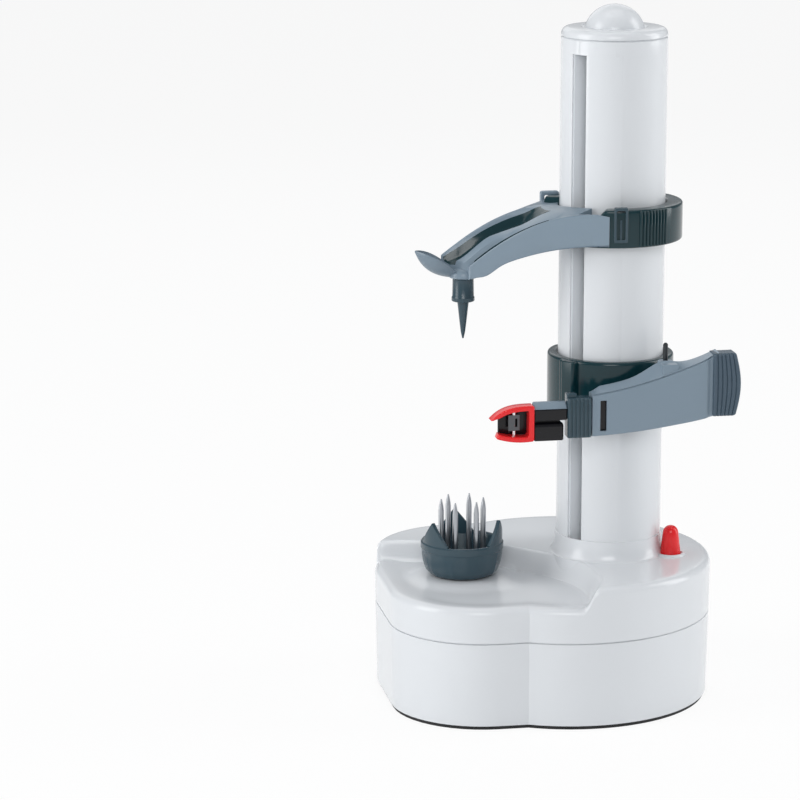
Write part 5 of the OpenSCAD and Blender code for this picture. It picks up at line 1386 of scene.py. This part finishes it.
# One lamp each: its name, its place, and its width and height, in metres, and its power
SOFTBOXES = (
    ("left softbox", (-1.25, -0.15, 0.6), (0.7, 1.2), 9),
    ("right softbox", (1.25, -0.1, 0.6), (0.6, 1.2), 8),
    ("front softbox", (-0.35, -1.7, 0.9), (0.8, 0.7), 9),
    ("top softbox", (0.0, 0.1, 1.4), (1.0, 0.8), 3),
    ("rear softbox", (0.1, 1.2, 0.9), (1.4, 0.9), 3),
)
LAMP_AIM = (0, 0, 0.14)
CAMERA_PLACE = (-338.6, -1386.9, 442.5)
CAMERA_AIM = (-89.55, 0, 128.2)
LENS, SENSOR_WIDTH, FURTHEST = 156.25, 36, 20
FLOOR_HALF = 3.0
PAPER_DARK, PAPER_LIGHT, PAPER_GLOW = (0.92, 0.92, 0.92), (0.94, 0.94, 0.94), 0.9
PLAIN_WHITE, SKY, SKY_STRENGTH = (1, 1, 1, 1), (0.93, 0.96, 1.0, 1), 0.34


def look_at(thing, place, aim):
    """Puts a lamp or the camera in its place and turns it to a point."""
    thing.location = place
    thing.rotation_euler = (Vector(aim) - Vector(place)).to_track_quat("-Z", "Y").to_euler()


def softbox(name, place, size, power):
    """A soft lamp that looks at the object."""
    lamp = bpy.data.lights.new(name, "AREA")
    lamp.shape = "RECTANGLE"
    lamp.size, lamp.size_y = size
    lamp.energy = power
    look_at(new_object(name, lamp), place, LAMP_AIM)


def white_behind(tree, shaded, white, seen):
    """Mixes a white shader in for the rays that see it, and gives the mix's output."""
    mix = tree.nodes.new("ShaderNodeMixShader")
    for output, place in ((seen.socket, 0), (shaded.outputs[0], 1), (white.outputs[0], 2)):
        tree.links.new(output, mix.inputs[place])
    return mix.outputs[0]


def rays(tree, *kinds):
    """1 for rays of the named kinds and 0 for others, one value each."""
    path = tree.nodes.new("ShaderNodeLightPath")
    return [Value(tree, path.outputs[f"Is {kind} Ray"]) for kind in kinds]


def paper_floor():
    """A wide pale floor. To the camera and in reflections it is nearly white, under the object's shadow."""
    h = FLOOR_HALF
    mesh = new_mesh("floor", [(-h, -h, 0), (h, -h, 0), (h, h, 0), (-h, h, 0)], [(0, 1, 2, 3)])
    floor = new_object("floor", mesh)
    paper = Finish("floor paper", Roughness=0.9)
    paper.tint(paper.noise(3.0), PAPER_DARK, PAPER_LIGHT)
    glow = paper.node("ShaderNodeEmission", Color=PLAIN_WHITE, Strength=1.0)
    camera, glossy, through = rays(paper.tree, "Camera", "Glossy", "Transmission")
    mixed = white_behind(paper.tree, paper.shader, glow, (camera + glossy + through) * PAPER_GLOW)
    output = next(n for n in paper.tree.nodes if n.type == "OUTPUT_MATERIAL")
    paper.tree.links.new(mixed, output.inputs[0])
    mesh.materials.append(paper.material)


def studio_world():
    """Faint bluish light all round, and plain white where the camera looks past the floor."""
    world = bpy.data.worlds.new("studio")
    world.use_nodes = True
    bpy.context.scene.world = world
    tree = world.node_tree
    around = next(n for n in tree.nodes if n.type == "BACKGROUND")
    around.inputs[0].default_value = SKY
    around.inputs[1].default_value = SKY_STRENGTH
    bright = tree.nodes.new("ShaderNodeBackground")
    bright.inputs[0].default_value = PLAIN_WHITE
    mixed = white_behind(tree, around, bright, *rays(tree, "Camera"))
    tree.links.new(mixed, next(n for n in tree.nodes if n.type == "OUTPUT_WORLD").inputs[0])


class PEELER_OT_stage(bpy.types.Operator):
    """Sets the floor, the soft lights, the white surroundings and the camera"""

    bl_idname = "peeler.stage"
    bl_label = "Stage"

    def execute(self, context):
        paper_floor()
        studio_world()
        for name, place, size, power in SOFTBOXES:
            softbox(name, place, size, power)
        lens = bpy.data.cameras.new("camera")
        lens.lens = LENS
        lens.sensor_width = SENSOR_WIDTH
        lens.clip_end = FURTHEST
        camera = new_object("camera", lens)
        place, aim = ((np.array(point) + SHIFT) * MM for point in (CAMERA_PLACE, CAMERA_AIM))
        look_at(camera, place, aim)
        context.scene.camera = camera
        context.scene.view_settings.view_transform = "Standard"
        return {"FINISHED"}


# ---- Add-on ----


def colour_property(name, description, default):
    """A colour of the panel."""
    return bpy.props.FloatVectorProperty(
        name=name, description=description, subtype="COLOR", size=3, default=default, min=0, max=1
    )


def length_property(name, description, default, least, most):
    """A length of the panel, in metres."""
    return bpy.props.FloatProperty(
        name=name, description=description, subtype="DISTANCE", unit="LENGTH", default=default, min=least,
        max=most,
    )


def count_property(name, description, default, least, most):
    """A count of the panel."""
    return bpy.props.IntProperty(
        name=name, description=description, default=default, min=least, max=most
    )


class PeelerColours(bpy.types.PropertyGroup):
    """The colours of the plastics"""

    shell: colour_property("Shell", "Colour of the base, column and cap", (0.72, 0.742, 0.765))
    arms: colour_property("Arms", "Colour of the two arms and, darker, of the tab", (0.205, 0.27, 0.33))
    cup: colour_property("Cup", "Colour of the cup, spike, latch and ribbed clip", (0.030, 0.062, 0.082))
    clips: colour_property("Clips", "Colour of the carriage and the collar", (0.004, 0.030, 0.038))
    grip: colour_property("Grip", "Colour of the grip's ribbed block", (0.055, 0.090, 0.125))
    red: colour_property("Red", "Colour of the button and the blade guard", (0.82, 0.018, 0.022))


class PeelerSizes(bpy.types.PropertyGroup):
    """The sizes and counts that can be changed"""

    edge_round: length_property("Edge", "Radius of the upper shell's outer edge", 0.003, 0.001, 0.005)
    seam_gap: length_property("Seam", "Height of the groove between the two shells", 0.0006, 0.0002, 0.001)
    collar_ribs: count_property("Collar ribs", "Number of ribs on the collar", 9, 5, 14)
    grip_ribs: count_property("Grip ribs", "Number of ribs on the grip", 6, 3, 9)


def sizes():
    """The panel's sizes."""
    return bpy.context.scene.peeler_sizes


class PEELER_PT_panel(bpy.types.Panel):
    """Lists the sizes, the colours and the operators"""

    bl_idname = "PEELER_PT_panel"
    bl_label = "Peeler"
    bl_space_type = "VIEW_3D"
    bl_region_type = "UI"
    bl_category = "Peeler"

    def draw(self, context):
        for group in (context.scene.peeler_sizes, context.scene.peeler_colours):
            for name in group.bl_rna.properties.keys():
                if name not in ("rna_type", "name"):
                    self.layout.prop(group, name)
        for operator in OPERATORS:
            self.layout.operator(operator.bl_idname)


OPERATORS = (
    PEELER_OT_base, PEELER_OT_column, PEELER_OT_food_cup, PEELER_OT_carriage, PEELER_OT_peeling_arm,
    PEELER_OT_blade_head, PEELER_OT_food_holder, PEELER_OT_start_button, PEELER_OT_works, PEELER_OT_stage,
)
CLASSES = (PeelerColours, PeelerSizes, *OPERATORS, PEELER_PT_panel)


def register():
    """Registers the classes and puts the panel's values on the scene."""
    for cls in CLASSES:
        bpy.utils.register_class(cls)
    bpy.types.Scene.peeler_colours = bpy.props.PointerProperty(type=PeelerColours)
    bpy.types.Scene.peeler_sizes = bpy.props.PointerProperty(type=PeelerSizes)


def unregister():
    """Undoes what register does."""
    del bpy.types.Scene.peeler_sizes
    del bpy.types.Scene.peeler_colours
    for cls in reversed(CLASSES):
        bpy.utils.unregister_class(cls)


def main():
    """Builds everything."""
    register()
    for operator in OPERATORS:
        group, name = operator.bl_idname.split(".")
        getattr(getattr(bpy.ops, group), name)()


if __name__ == "__main__":
    main()
